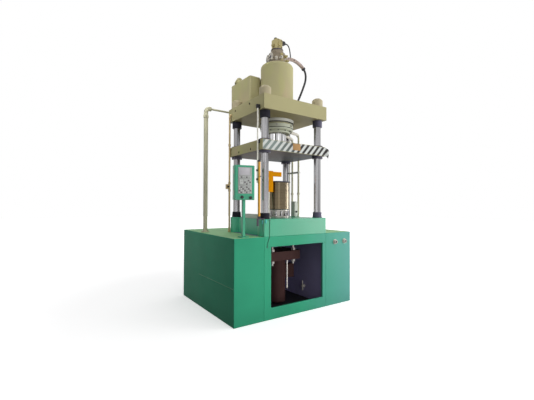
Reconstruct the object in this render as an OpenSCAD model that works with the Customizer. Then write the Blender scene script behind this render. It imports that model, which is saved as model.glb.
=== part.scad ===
// Four-column hydraulic press: an oil-tank base with a front bay, a bed, four columns,
// a crown with the main cylinder and its filling tank, a guided slide, and a lower
// ejector cylinder. Millimetres, +Z up, front towards -Y, origin on the ground under
// the middle of the base.

/* [Base] */
// Width of the base over both side tanks
base_w = 1910; // [1800:10:2100]
// Depth of the base from front to back
base_d = 1600; // [1500:10:1800]
// Height of the oil tanks
base_h = 1000; // [950:10:1050]
// Sideways place of the press axis
press_x = -42; // [-60:1:60]
// Distance of the press axis behind the front face
press_back = 452; // [440:1:480]

/* [Bay] */
// Width of the front window
window_w = 853; // [700:1:880]
// Height of the panel that is left above the window
window_head = 127; // [90:1:200]
// Height of the window's sill above the ground
window_sill = 138; // [80:1:180]
// Thickness of the front panel
panel_t = 30; // [20:1:40]
// Thickness of the bay's side and back walls
wall_t = 36; // [20:1:40]
// Thickness of the bay's floor plate
floor_t = 40; // [20:1:60]

/* [Bed] */
// Width of the bed
bed_w = 1015; // [1000:1:1060]
// Depth of the bed, flush with the base in front
bed_d = 910; // [890:1:960]
// Height of the bed above the tanks
bed_rise = 210; // [160:1:260]
// Depth of the recess in each side of the bed
bed_recess = 45; // [20:1:55]
// Diameter of the bosses that hold the columns
boss_d = 170; // [150:1:185]

/* [Columns] */
// Diameter of the columns
column_d = 95; // [80:1:105]
// Distance between the columns, side to side
column_gap_x = 874; // [850:1:890]
// Distance between the columns, front to back
column_gap_y = 708; // [690:1:720]
// Depth that the columns reach into the bed
column_seat = 150; // [100:1:155]
// Diameter of the black collars on the columns
collar_d = 130; // [120:1:140]
// Height of the collars on the bed
foot_collar_h = 75; // [50:1:90]
// Height of the collars under the crown
head_collar_h = 90; // [50:1:110]
// Diameter of the column nuts on the crown
nut_d = 148; // [130:1:150]
// Height of the column nuts
nut_h = 122; // [90:1:140]

/* [Crown] */
// Height of the crown's underside above the bed
daylight = 1336; // [1300:1:1420]
// Width of the crown
crown_w = 1034; // [1020:1:1080]
// Depth of the crown
crown_d = 904; // [880:1:940]
// Thickness of the crown
crown_t = 182; // [150:1:220]

/* [Main cylinder] */
// Outer diameter of the main cylinder
barrel_d = 454; // [430:1:480]
// Height of the main cylinder above the crown
barrel_h = 596; // [570:1:660]
// Radius of the rounded shoulder of the main cylinder
barrel_round = 48; // [20:1:90]
// Diameter of the cylinder's neck through the crown
neck_d = 396; // [380:1:410]
// Bore of the main cylinder
bore_d = 340; // [320:1:350]
// Thickness of the cylinder's closed end
barrel_end = 110; // [90:1:120]
// Height of the lock ring under the crown
lock_h = 48; // [30:1:60]
// Height of the groove between the lock ring and the gland
groove_h = 18; // [8:1:24]
// Height of the rod gland
gland_h = 84; // [70:1:96]
// Diameter of the piston rod
rod_d = 265; // [240:1:280]

/* [Slide] */
// Width of the slide
slide_w = 1040; // [1020:1:1042]
// Depth of the slide
slide_d = 850; // [830:1:880]
// Thickness of the slide
slide_t = 127; // [110:1:140]
// Height of the slide's underside above the bed, as shown
slide_gap = 844; // [820:1:850]
// Diameter of the guide bush flanges
bush_d = 146; // [140:1:150]
// Thickness of the lower guide bush flanges
bush_low_t = 32; // [20:1:40]
// Thickness of the upper guide bush flanges
bush_top_t = 14; // [8:1:20]

/* [Filling system] */
// Width of the filling tank
fill_w = 716; // [700:1:720]
// Height of the filling tank
fill_h = 442; // [400:1:480]
// Distance of the filling tank's front behind the press axis's front side
fill_front = 139; // [120:1:160]
// Distance of the filling tank's back face behind the press axis
fill_back = 686; // [640:1:720]
// Height of the filling valve on the main cylinder
valve_h = 230; // [200:1:250]
// Largest diameter of the filling valve
valve_d = 270; // [250:1:290]
// Height of the brass valve block
block_h = 135; // [110:1:145]
// Width of the brass valve block
block_w = 130; // [110:1:140]
// Diameter of the return pipe
return_d = 60; // [50:1:70]
// Diameter of the thin line from the filling tank to the return pipe
line_d = 26; // [20:1:32]

/* [Tooling] */
// Diameter of the die
die_d = 366; // [330:1:380]
// Height of the die's body
die_h = 372; // [330:1:390]
// Diameter of the die's base
die_base_d = 352; // [320:1:360]
// Height of the die's base
die_base_h = 108; // [80:1:120]
// Height of the swing bracket's post
bracket_post_h = 340; // [300:1:345]
// Height of the swing bracket's upright
bracket_h = 275; // [240:1:280]

/* [Controls] */
// Width of the control pendant
pendant_w = 246; // [200:1:280]
// Depth of the control pendant
pendant_d = 100; // [80:1:120]
// Height of the control pendant
pendant_h = 406; // [380:1:430]
// Turn of the control pendant towards the left, in degrees
pendant_turn = 14; // [0:1:25]
// Height of the pendant's post
pendant_post_h = 440; // [400:1:480]
// Length of the light curtain bar
curtain_h = 695; // [640:1:740]
// Length of the limit switch rod
switch_rod_h = 954; // [880:1:980]

/* [Ejector] */
// Diameter of the ejector cylinder
ejector_d = 250; // [220:1:270]
// Width of the ejector's flange plate
ejector_plate_w = 520; // [480:1:540]
// Thickness of the ejector's flange plate
ejector_plate_t = 120; // [90:1:130]
// Distance of the flange plate's top below the bed
ejector_drop = 240; // [200:1:260]

/* [Hidden] */
$fn = 72;

// Overrun of every cut, and the clearance of a round fit
over = 1;
fit = 0.3;

// Main levels and faces
front_y = -base_d / 2;
press_y = front_y + press_back;
bed_left = press_x - bed_w / 2;
bed_right = press_x + bed_w / 2;
bed_back = front_y + bed_d;
bed_top = base_h + bed_rise;
crown_z = bed_top + daylight;
crown_top = crown_z + crown_t;
crown_left = press_x - crown_w / 2;
slide_z = bed_top + slide_gap;
slide_top = slide_z + slide_t;
slide_left = press_x - slide_w / 2;
slide_right = press_x + slide_w / 2;
column_x = column_gap_x / 2;
column_y = column_gap_y / 2;
barrel_top = crown_top + barrel_h;
gland_top = crown_z - lock_h - groove_h;
gland_z = gland_top - gland_h;

// Window place against the press axis
window_off = 22;
window_h = base_h - window_sill - window_head;

// Column ends and collars
collar_taper = 8;
nut_edge = 26;
nut_crown_d = 92;
bush_sleeve_d = 116;

// Main cylinder and its rings
lock_d = 465;
gland_d = 455;
wiper_d = 372;
wiper_h = 30;
gland_step = 14;
piston_h = 150;
piston_rise = 680;

// Filling tank and its cap
fill_gap = 12;
fill_edge = 22;
cap_d = 140;
cap_h = 110;
cap_top_d = 64;
cap_rim = 26;
cap_neck_d = 90;
cap_neck_h = 22;
cap_side = 80;
cap_back = 108;

// Filling valve, brass block and their fittings
valve_flange_h = 34;
valve_body_d = 232;
valve_neck_d = 168;
valve_body_share = 0.72;
port_seat = 16;
port_z = 140;
ferrule_d = 52;
ferrule_l = 50;
block_cut = 24;
knob_d = 46;
knob_h = 32;
knob_x = -26;
connector_w = 48;
connector_l = 64;
connector_rise = 16;

// Swept lines, points chosen by hand, relative to the press axis and the main cylinder's top
cable_d = 16;
cable_route = [
    [126, 0, 358], [152, 0, 363], [174, 0, 362], [194, 0, 353], [209, 0, 336], [220, 0, 312],
    [228, 0, 284], [234, 0, 254], [239, 0, 222], [242, 0, 186]
];
sleeve_d = 50;
sleeve_route = [
    [148, 0, 140], [190, 0, 154], [232, 0, 164], [276, 0, 167], [320, 0, 163], [364, 0, 152],
    [406, 0, 136], [446, 0, 115], [482, 0, 90], [500, 0, 72]
];
hose_d = 30;
hose_route = [
    [493, 0, 79], [512, 0, 56], [524, 0, 32], [531, 0, 4], [534, 0, -26], [531, 0, -62],
    [524, 0, -98], [512, 0, -134], [497, 0, -172], [480, 0, -212], [462, 0, -254],
    [442, 0, -298], [421, 0, -342], [399, 0, -386], [377, 0, -430], [356, 0, -472],
    [341, 0, -506], [333, 0, -530], [330, 0, -548]
];
tube_sides = 12;
union_d = 46;
union_h = 60;
union_x = 330;

// Return pipe
return_edge = 98;
return_back = 570;
return_x = -base_w / 2 + return_edge;
return_y = press_y + return_back;
return_h = 1735;
return_bend = 55;
return_spigot = 20;
return_flange_d = 110;
return_flange_h = 14;

// Pendant
pendant_gap = 226;
pendant_front = 106;
pendant_x = bed_left - pendant_gap;
pendant_y = front_y + pendant_front;
pendant_post_w = 34;
pendant_round = 16;
pendant_foot_w = 100;
pendant_foot_h = 12;

// Light curtain and its bracket
curtain_w = 24;
curtain_gap = 44;
curtain_front = 18;
curtain_bracket_t = 12;
curtain_seat = 20;
curtain_leg_t = 16;
curtain_leg_h = 78;

// Limit switch rod, its bracket and the switches
switch_rod_d = 18;
switch_block_l = 46;
switch_block_h = 46;
switch_block_drop = 124;
switch_y = -354;
switch_size = 24;
switch_high = 140;
switch_low = 30;
dog_t = 10;
dog_w = 40;
dog_h = 46;

// Lubrication pipe at the back left, with its valve
lube_d = 26;
lube_gap = 26;
lube_y = 373;
lube_head = 94;
lube_end = 2;
lube_block_w = 50;
lube_block_d = 40;
lube_block_h = 68;
lube_block_rise = 600;

// Feed pipes at the right
feed_d = 28;
feed_gap = 27;
feed_x = slide_right + feed_gap;
feed_back_y = 328;
feed_front_y = 178;
feed_back_drop = 64;
feed_front_drop = 22;
feed_bend = 60;
drain_d = 14;
drain_y = 396;
drain_head = 94;
drain_end = 2;
clamp_rise = 660;
clamp_h = 24;
clamp_t = 34;
clamp_edge = 22;

// Cable duct on the bed's left edge
duct_w = 44;
duct_h = 55;
duct_l = 344;
duct_y = -98;

// Lead of the light curtain, held on the front panel, points relative to the press axis and the bed's top
lead_d = 6;
lead_route = [
    [-431, 0, -14], [-431, 0, -60], [-431, 0, -110], [-431, 0, -160], [-431, 0, -205],
    [-438, 0, -235], [-449, 0, -262], [-458, 0, -295], [-463, 0, -333]
];
grommet_d = 16;
grommet_t = 8;

// Junction box on the bed
junction_w = 66;
junction_d = 80;
junction_h = 225;
junction_edge = 3;
junction_y = 88;

// Die, its base and its ring
die_ring_h = 14;
die_ring_d = 384;
die_lip = 10;
die_flange_t = 25;
die_neck_in = 26;
die_head_in = 10;
die_head_t = 14;

// Swing bracket on the bed
bracket_x = -282;
bracket_y = -204;
bracket_post_d = 34;
bracket_foot_d = 62;
bracket_foot_h = 16;
bracket_w = 84;
bracket_t = 38;
bracket_arm_l = 140;
bracket_arm_h = 60;
bracket_arm_t = 26;
bracket_arm_drop = 8;

// Ejector cylinder, its studs and fittings
ejector_plate_d = 400;
ejector_foot = 60;
stud_d = 32;
stud_x = 176;
stud_y = 150;
stud_nut_d = 62;
stud_nut_h = 34;
stud_tail = 30;
ejector_block_w = 150;
ejector_block_d = 100;
ejector_block_h = 190;
ejector_block_drop = 110;
indicator_d = 16;
indicator_h = 380;
indicator_x = 48;
indicator_edge = 18;

// Lifting holes in the sides of the crown and the slide
lift_d = 26;
lift_depth = 50;
crown_lift_gap = 370;
crown_lift_off = 72;
crown_lift_drop = 50;
slide_lift_gap = 302;
slide_lift_rise = 35;

// Couplings on the right tank's front
coupling_d = 52;
coupling_l = 34;
coupling_flange_d = 70;
coupling_flange_t = 8;
coupling_z_drop = 128;
coupling_x = 176;
coupling_gap = 187;

// Colours
enamel = [0.20, 0.58, 0.46];
khaki = [0.66, 0.64, 0.48];
steel = [0.78, 0.78, 0.80];
black = [0.10, 0.10, 0.13];
oxide = [0.40, 0.20, 0.16];

// Four places at the columns, or one of them by its signs
function column_place(sx, sy) = [press_x + sx * column_x, press_y + sy * column_y];

module at_columns() {
    for (sx = [-1, 1], sy = [-1, 1])
        translate([column_place(sx, sy).x, column_place(sx, sy).y, 0]) children();
}

module box(x0, x1, y0, y1, z0, z1) {
    translate([x0, y0, z0]) cube([x1 - x0, y1 - y0, z1 - z0]);
}

module ring(outer, inner, h) {
    difference() {
        cylinder(d = outer, h = h);
        translate([0, 0, -over]) cylinder(d = inner, h = h + 2 * over);
    }
}

// Plate with round upright corners
module round_plate(w, d, h, r) {
    hull()
        for (sx = [-1, 1], sy = [-1, 1])
            translate([sx * (w / 2 - r), sy * (d / 2 - r), 0]) cylinder(r = r, h = h, $fn = 32);
}

// Round tube swept along a route in the plane y = 0 of its own frame
function unit(v) = v / norm(v);
function tangent(p, i) = unit(p[min(i + 1, len(p) - 1)] - p[max(i - 1, 0)]);
function tube_ring(p, i, r) =
    let (t = tangent(p, i), n = unit(cross([0, 1, 0], t)))
    [for (k = [0:tube_sides - 1])
        let (a = 360 * k / tube_sides) p[i] + r * (cos(a) * n + sin(a) * [0, 1, 0])];

module swept_tube(p, d) {
    rings = len(p);
    points = [for (i = [0:rings - 1]) each tube_ring(p, i, d / 2)];
    sides = [for (i = [0:rings - 2], k = [0:tube_sides - 1])
        let (a = i * tube_sides, b = a + tube_sides, k2 = (k + 1) % tube_sides)
        [a + k, b + k, b + k2, a + k2]];
    first = [for (k = [0:tube_sides - 1]) k];
    last = [for (k = [tube_sides - 1:-1:0]) (rings - 1) * tube_sides + k];
    polyhedron(points, concat([first], sides, [last]), convexity = 6);
}

// Base and bay
module front_panel() {
    wx = press_x + window_off;
    color(enamel)
        difference() {
            box(bed_left, bed_right, front_y, front_y + panel_t, 0, base_h);
            box(wx - window_w / 2, wx + window_w / 2, front_y - over, front_y + panel_t + over,
                window_sill, window_sill + window_h);
        }
}

module bay_walls() {
    y0 = front_y + panel_t;
    color(enamel) {
        box(bed_left, bed_left + wall_t, y0, bed_back, 0, base_h);
        box(bed_right - wall_t, bed_right, y0, bed_back, 0, base_h);
        box(bed_left + wall_t, bed_right - wall_t, bed_back - wall_t, bed_back, 0, base_h);
    }
}

module bay_floor() {
    color(black)
        box(bed_left + wall_t, bed_right - wall_t, front_y + panel_t, bed_back - wall_t, 0, floor_t);
}

module bed() {
    color(enamel)
        difference() {
            union() {
                box(bed_left + bed_recess, bed_right - bed_recess, front_y, bed_back, base_h, bed_top);
                box(bed_left, bed_right, front_y, front_y + panel_t, base_h, bed_top);
                at_columns() translate([0, 0, base_h]) cylinder(d = boss_d, h = bed_rise);
            }
            at_columns() translate([0, 0, bed_top - column_seat])
                cylinder(d = column_d + 2 * fit, h = column_seat + over);
        }
}

module tank_left() {
    color(enamel) box(-base_w / 2, bed_left, front_y, base_d / 2, 0, base_h);
}

module tank_right() {
    color(enamel) box(bed_right, base_w / 2, front_y, base_d / 2, 0, base_h);
}

module tank_rear() {
    color(enamel) box(bed_left, bed_right, bed_back, base_d / 2, 0, base_h);
}

// Columns with their collars and nuts
module column(sx, sy) {
    z0 = bed_top - column_seat;
    place = column_place(sx, sy);
    color(steel) translate([place.x, place.y, z0]) cylinder(d = column_d, h = crown_top + nut_edge - z0);
}

module column_front_left() { column(-1, -1); }
module column_front_right() { column(1, -1); }
module column_back_left() { column(-1, 1); }
module column_back_right() { column(1, 1); }

module foot_collars() {
    inner = column_d / 2 + fit;
    color(black)
        at_columns() translate([0, 0, bed_top])
            rotate_extrude()
                polygon([[inner, 0], [collar_d / 2, 0], [collar_d / 2 - collar_taper, foot_collar_h],
                    [inner, foot_collar_h]]);
}

module head_collars() {
    color(black)
        at_columns() translate([0, 0, crown_z - head_collar_h])
            ring(collar_d, column_d + 2 * fit, head_collar_h);
}

module column_nuts() {
    inner = column_d / 2 + fit;
    color(khaki)
        at_columns() translate([0, 0, crown_top])
            rotate_extrude()
                polygon([[inner, 0], [nut_d / 2, 0], [nut_d / 2, nut_h - nut_edge], [nut_crown_d / 2, nut_h],
                    [0, nut_h], [0, nut_edge + fit], [inner, nut_edge + fit]]);
}

// Blind holes, two in each side of a plate of width w
module lifting_holes(w, gap) {
    for (sx = [-1, 1], sy = [-1, 1])
        translate([sx * (w / 2 + over), sy * gap / 2, 0])
            rotate([0, -sx * 90, 0]) cylinder(d = lift_d, h = lift_depth + over, $fn = 32);
}

// Crown and main cylinder
module crown() {
    color(khaki)
        difference() {
            translate([press_x - crown_w / 2, press_y - crown_d / 2, crown_z])
                cube([crown_w, crown_d, crown_t]);
            at_columns() translate([0, 0, crown_z - over])
                cylinder(d = column_d + 2 * fit, h = crown_t + 2 * over);
            translate([press_x, press_y, crown_z - over])
                cylinder(d = neck_d + 2 * fit, h = crown_t + 2 * over);
            translate([press_x, press_y + crown_lift_off, crown_top - crown_lift_drop])
                lifting_holes(crown_w, crown_lift_gap);
        }
}

module main_cylinder() {
    r = barrel_d / 2;
    inner = bore_d / 2;
    color(khaki)
        translate([press_x, press_y, 0])
            rotate_extrude()
                difference() {
                    union() {
                        polygon([[0, gland_top], [neck_d / 2, gland_top], [neck_d / 2, crown_top],
                            [r, crown_top], [r, barrel_top - barrel_round],
                            [r - barrel_round, barrel_top - barrel_round],
                            [r - barrel_round, barrel_top], [0, barrel_top]]);
                        intersection() {
                            translate([r - barrel_round, barrel_top - barrel_round])
                                circle(r = barrel_round);
                            translate([r - barrel_round, barrel_top - barrel_round])
                                square([barrel_round, barrel_round]);
                        }
                    }
                    translate([0, gland_top - over])
                        square([inner, barrel_top - barrel_end - gland_top + over]);
                }
}

module lock_ring() {
    color(khaki)
        translate([press_x, press_y, crown_z - lock_h]) ring(lock_d, neck_d + 2 * fit, lock_h);
}

module rod_gland() {
    inner = rod_d / 2 + fit;
    color(khaki)
        translate([press_x, press_y, gland_z - wiper_h])
            rotate_extrude()
                polygon([[inner, 0], [wiper_d / 2, 0], [wiper_d / 2, wiper_h],
                    [gland_d / 2 - gland_step, wiper_h], [gland_d / 2, wiper_h + gland_step],
                    [gland_d / 2, wiper_h + gland_h], [inner, wiper_h + gland_h]]);
}

// Filling tank, valve and lines
module filling_tank() {
    d = fill_back - fill_front;
    color(khaki)
        difference() {
            translate([press_x, press_y + fill_front + d / 2, crown_top])
                round_plate(fill_w, d, fill_h, fill_edge);
            translate([press_x, press_y, crown_top - over])
                cylinder(d = barrel_d + 2 * fill_gap, h = fill_h + 2 * over);
        }
}

module tank_breather() {
    color(black)
        translate([press_x - fill_w / 2 + cap_side, press_y + fill_back - cap_back, crown_top + fill_h])
            rotate_extrude()
                polygon([[0, 0], [cap_neck_d / 2, 0], [cap_neck_d / 2, cap_neck_h], [cap_d / 2, cap_neck_h],
                    [cap_d / 2, cap_neck_h + cap_rim], [cap_top_d / 2, cap_h], [0, cap_h]]);
}

module filling_valve() {
    body_z = valve_h * valve_body_share;
    color(steel)
        translate([press_x, press_y, barrel_top])
            difference() {
                rotate_extrude()
                    polygon([[0, 0], [valve_d / 2, 0], [valve_d / 2, valve_flange_h],
                        [valve_body_d / 2, valve_flange_h], [valve_body_d / 2, body_z],
                        [valve_neck_d / 2, valve_h - valve_flange_h], [valve_neck_d / 2, valve_h],
                        [0, valve_h]]);
                translate([valve_body_d / 2 - port_seat, 0, port_z]) rotate([0, 90, 0])
                    cylinder(d = ferrule_d + 2 * fit, h = ferrule_l);
            }
}

module valve_block() {
    w = block_w / 2;
    color([0.80, 0.66, 0.30])
        translate([press_x, press_y, barrel_top + valve_h])
            linear_extrude(block_h)
                polygon([[-w, -w + block_cut], [-w + block_cut, -w], [w - block_cut, -w], [w, -w + block_cut],
                    [w, w - block_cut], [w - block_cut, w], [-w + block_cut, w], [-w, w - block_cut]]);
}

module valve_knob() {
    color(black)
        translate([press_x + knob_x, press_y, barrel_top + valve_h + block_h])
            cylinder(d = knob_d, h = knob_h);
}

module valve_connector() {
    x0 = press_x + block_w / 2;
    z1 = barrel_top + valve_h + block_h + connector_rise;
    color(black)
        box(x0, x0 + connector_l, press_y - connector_w / 2, press_y + connector_w / 2, z1 - connector_w, z1);
}

module valve_cable() {
    color(black) translate([press_x, press_y, barrel_top]) swept_tube(cable_route, cable_d);
}

module hose_sleeve() {
    color([0.55, 0.48, 0.44])
        translate([press_x, press_y, barrel_top])
            union() {
                swept_tube(sleeve_route, sleeve_d);
                translate([valve_body_d / 2 - port_seat, 0, port_z]) rotate([0, 90, 0])
                    cylinder(d = ferrule_d, h = ferrule_l);
            }
}

module pressure_hose() {
    color(black) translate([press_x, press_y, barrel_top]) swept_tube(hose_route, hose_d);
}

module hose_union() {
    color(steel)
        translate([press_x + union_x, press_y, crown_top]) cylinder(d = union_d, h = union_h, $fn = 6);
}

// Pipe that rises, bends through a quarter turn and runs on along +X
module bent_pipe(d, rise, bend, run) {
    union() {
        cylinder(d = d, h = rise - bend);
        translate([bend, 0, rise - bend]) rotate([90, 0, 0])
            rotate_extrude(angle = 90, start = 90) translate([bend, 0]) circle(d = d);
        translate([bend, 0, rise]) rotate([0, 90, 0]) cylinder(d = d, h = run - bend);
    }
}

module return_pipe() {
    color(khaki)
        translate([return_x, return_y, base_h]) {
            cylinder(d = return_flange_d, h = return_flange_h);
            bent_pipe(return_d, return_h, return_bend, return_bend + return_spigot);
        }
}

module return_line() {
    x0 = return_x + return_bend + return_spigot;
    x1 = press_x - fill_w / 2;
    z = base_h + return_h;
    color(khaki)
        translate([x0, return_y, z]) rotate([0, 90, 0]) cylinder(d = line_d, h = x1 - x0);
}

// Controls
module pendant_post() {
    w = pendant_post_w / 2;
    color(enamel)
        translate([pendant_x, pendant_y, base_h]) {
            translate([-pendant_foot_w / 2, -pendant_foot_w / 2, 0])
                cube([pendant_foot_w, pendant_foot_w, pendant_foot_h]);
            translate([-w, -w, 0]) cube([pendant_post_w, pendant_post_w, pendant_post_h]);
        }
}

module pendant_box() {
    color(enamel)
        translate([pendant_x, pendant_y, base_h + pendant_post_h])
            rotate([0, 0, -pendant_turn]) round_plate(pendant_w, pendant_d, pendant_h, pendant_round);
}

module curtain_bracket() {
    x0 = bed_left - curtain_gap - curtain_w;
    y0 = front_y + curtain_front;
    color(black)
        union() {
            box(x0 - curtain_leg_t, bed_left + curtain_seat, y0, y0 + curtain_w,
                bed_top, bed_top + curtain_bracket_t);
            box(x0 - curtain_leg_t, x0, y0, y0 + curtain_w,
                bed_top - curtain_leg_h, bed_top + curtain_bracket_t);
        }
}

module light_curtain() {
    x0 = bed_left - curtain_gap - curtain_w;
    y0 = front_y + curtain_front;
    z0 = bed_top + curtain_bracket_t;
    color([0.82, 0.62, 0.16]) box(x0, x0 + curtain_w, y0, y0 + curtain_w, z0, z0 + curtain_h);
}

module switch_rod() {
    x0 = crown_left - switch_block_l;
    y0 = press_y + switch_y;
    z1 = crown_top - switch_block_drop;
    color([0.86, 0.85, 0.80])
        union() {
            box(x0, crown_left, y0 - switch_rod_d, y0 + switch_rod_d, z1 - switch_block_h, z1);
            translate([x0 + switch_rod_d, y0, z1 - switch_rod_h])
                cylinder(d = switch_rod_d, h = switch_rod_h);
        }
}

module limit_switches() {
    x0 = crown_left - switch_block_l + switch_rod_d;
    y0 = press_y + switch_y;
    z0 = crown_top - switch_block_drop - switch_rod_h;
    color(black)
        for (z = [switch_low, switch_high])
            translate([x0, y0, z0 + z])
                difference() {
                    translate([-switch_size / 2, -switch_size / 2, 0]) cube(switch_size);
                    translate([0, 0, -over]) cylinder(d = switch_rod_d + 2 * fit, h = switch_size + 2 * over);
                }
}

module lube_pipe() {
    color([0.72, 0.62, 0.42])
        translate([crown_left - lube_gap, press_y + lube_y, base_h])
            union() {
                bent_pipe(lube_d, crown_z + lube_head - base_h, lube_gap - lube_end, lube_gap);
                translate([-lube_block_w, -lube_block_d / 2, lube_block_rise])
                    cube([lube_block_w, lube_block_d, lube_block_h]);
            }
}

// Feed pipes rise beside the slide and turn in to the gland; a thin drain pipe leads to the crown
module feed_pipe(y, drop) {
    reach = norm([feed_x - press_x, y]);
    translate([feed_x, press_y + y, base_h])
        rotate([0, 0, atan2(y, feed_x - press_x) + 180])
            bent_pipe(feed_d, gland_top - drop - base_h, feed_bend, reach - gland_d / 2 - fit);
}

module feed_pipes() {
    inward = feed_x - press_x - crown_w / 2;
    color(khaki) {
        feed_pipe(feed_back_y, feed_back_drop);
        feed_pipe(feed_front_y, feed_front_drop);
        translate([feed_x, press_y + drain_y, base_h]) rotate([0, 0, 180])
            bent_pipe(drain_d, crown_z + drain_head - base_h, inward - drain_end, inward);
    }
}

module pipe_clamp() {
    z0 = bed_top + clamp_rise;
    color(khaki)
        difference() {
            box(feed_x - clamp_t / 2, feed_x + clamp_t / 2, press_y + feed_front_y - clamp_edge,
                press_y + drain_y + clamp_edge, z0, z0 + clamp_h);
            for (y = [feed_front_y, feed_back_y])
                translate([feed_x, press_y + y, z0 - over])
                    cylinder(d = feed_d + 2 * fit, h = clamp_h + 2 * over);
            translate([feed_x, press_y + drain_y, z0 - over])
                cylinder(d = drain_d + 2 * fit, h = clamp_h + 2 * over);
        }
}

module cable_duct() {
    x0 = bed_left + bed_recess;
    color([0.80, 0.80, 0.78])
        translate([0, press_y + duct_y, bed_top]) box(x0, x0 + duct_w, -duct_l / 2, duct_l / 2, 0, duct_h);
}

module curtain_lead() {
    ends = [lead_route[0], lead_route[len(lead_route) - 1]];
    color(black)
        translate([press_x, front_y, bed_top])
            union() {
                translate([0, -lead_d / 2, 0]) swept_tube(lead_route, lead_d);
                for (end = ends)
                    translate(end) rotate([90, 0, 0]) cylinder(d = grommet_d, h = grommet_t, $fn = 32);
            }
}

module junction_box() {
    x1 = bed_right - bed_recess - junction_edge;
    y0 = press_y + junction_y;
    color([0.62, 0.64, 0.62]) box(x1 - junction_w, x1, y0, y0 + junction_d, bed_top, bed_top + junction_h);
}

// Die and swing bracket on the bed
module die_base() {
    r = die_base_d / 2;
    color(steel)
        translate([press_x, press_y, bed_top])
            rotate_extrude()
                polygon([[0, 0], [r, 0], [r, die_flange_t], [r - die_neck_in, die_flange_t],
                    [r - die_neck_in, die_base_h - die_head_t], [r - die_head_in, die_base_h - die_head_t],
                    [r - die_head_in, die_base_h], [0, die_base_h]]);
}

module die_body() {
    color([0.45, 0.40, 0.28])
        translate([press_x, press_y, bed_top + die_base_h])
            rotate_extrude()
                polygon([[0, 0], [die_d / 2 - die_lip, 0], [die_d / 2, die_lip], [die_d / 2, die_h],
                    [0, die_h]]);
}

module die_ring() {
    color(black)
        translate([press_x, press_y, bed_top + die_base_h + die_h]) cylinder(d = die_ring_d, h = die_ring_h);
}

module bracket_post() {
    color([0.88, 0.88, 0.86])
        translate([press_x + bracket_x, press_y + bracket_y, bed_top]) {
            cylinder(d = bracket_foot_d, h = bracket_foot_h);
            cylinder(d = bracket_post_d, h = bracket_post_h);
        }
}

module bracket_arm() {
    color([0.90, 0.62, 0.16])
        translate([press_x + bracket_x - bracket_post_d / 2, press_y + bracket_y, bed_top + bracket_post_h])
            union() {
                translate([0, -bracket_t / 2, 0]) cube([bracket_w, bracket_t, bracket_h]);
                translate([0, -bracket_arm_t / 2, bracket_h - bracket_arm_drop - bracket_arm_h])
                    cube([bracket_w + bracket_arm_l, bracket_arm_t, bracket_arm_h]);
            }
}

// Lower ejector cylinder, hung under the bed
module at_studs() {
    for (sx = [-1, 1], sy = [-1, 1])
        translate([press_x + sx * stud_x, press_y + sy * stud_y, 0]) children();
}

module ejector_plate() {
    z1 = base_h - ejector_drop;
    color(oxide)
        difference() {
            box(press_x - ejector_plate_w / 2, press_x + ejector_plate_w / 2, press_y - ejector_plate_d / 2,
                press_y + ejector_plate_d / 2, z1 - ejector_plate_t, z1);
            at_studs() translate([0, 0, z1 - ejector_plate_t - over])
                cylinder(d = stud_d + 2 * fit, h = ejector_plate_t + 2 * over);
        }
}

module ejector_studs() {
    z0 = base_h - ejector_drop - ejector_plate_t;
    color(steel)
        at_studs() translate([0, 0, z0]) {
            translate([0, 0, -stud_nut_h - stud_tail])
                cylinder(d = stud_d, h = base_h - z0 + stud_nut_h + stud_tail);
            translate([0, 0, -stud_nut_h]) cylinder(d = stud_nut_d, h = stud_nut_h, $fn = 6);
            translate([0, 0, ejector_plate_t]) cylinder(d = stud_nut_d, h = stud_nut_h, $fn = 6);
        }
}

module ejector_cylinder() {
    z1 = base_h - ejector_drop - ejector_plate_t;
    color(oxide) translate([press_x, press_y, ejector_foot]) cylinder(d = ejector_d, h = z1 - ejector_foot);
}

module ejector_block() {
    x0 = press_x + ejector_d / 2;
    z1 = base_h - ejector_drop - ejector_plate_t - stud_nut_h - ejector_block_drop / 2;
    color(oxide)
        difference() {
            box(press_x, x0 + ejector_block_w, press_y - ejector_block_d / 2, press_y + ejector_block_d / 2,
                z1 - ejector_block_h, z1);
            translate([press_x, press_y, 0]) cylinder(d = ejector_d + 2 * fit, h = base_h);
        }
}

module indicator_rod() {
    z1 = base_h - ejector_drop - ejector_plate_t;
    color([0.92, 0.92, 0.90])
        translate([press_x + indicator_x, press_y - ejector_plate_d / 2 + indicator_edge, z1 - indicator_h])
            cylinder(d = indicator_d, h = indicator_h);
}

module front_couplings() {
    color(steel)
        for (i = [0, 1])
            translate([bed_right + coupling_x + i * coupling_gap, front_y, base_h - coupling_z_drop])
                rotate([90, 0, 0]) {
                    cylinder(d = coupling_flange_d, h = coupling_flange_t);
                    cylinder(d = coupling_d, h = coupling_l);
                }
}

// Moving slide
module slide_plate() {
    color(khaki)
        difference() {
            box(slide_left, slide_right, press_y - slide_d / 2, press_y + slide_d / 2, slide_z, slide_top);
            at_columns() translate([0, 0, slide_z - over])
                cylinder(d = bush_sleeve_d + 2 * fit, h = slide_t + 2 * over);
            translate([press_x, press_y, slide_z + slide_lift_rise]) lifting_holes(slide_w, slide_lift_gap);
        }
}

module bush(flange_t) {
    translate([0, 0, -flange_t]) ring(bush_d, column_d + 2 * fit, flange_t);
    ring(bush_sleeve_d, column_d + 2 * fit, slide_t / 2);
}

module upper_bushes() {
    color(black) at_columns() translate([0, 0, slide_top]) mirror([0, 0, 1]) bush(bush_top_t);
}

module lower_bushes() {
    color(black) at_columns() translate([0, 0, slide_z]) bush(bush_low_t);
}

module piston_rod() {
    color(steel)
        translate([press_x, press_y, slide_top]) {
            cylinder(d = rod_d, h = piston_rise);
            translate([0, 0, piston_rise]) cylinder(d = bore_d - 2 * fit, h = piston_h);
        }
}

module slide_dog() {
    color(black)
        box(slide_left - dog_t, slide_left, press_y + switch_y - dog_w / 2, press_y + switch_y + dog_w / 2,
            slide_top - dog_h, slide_top);
}

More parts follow.
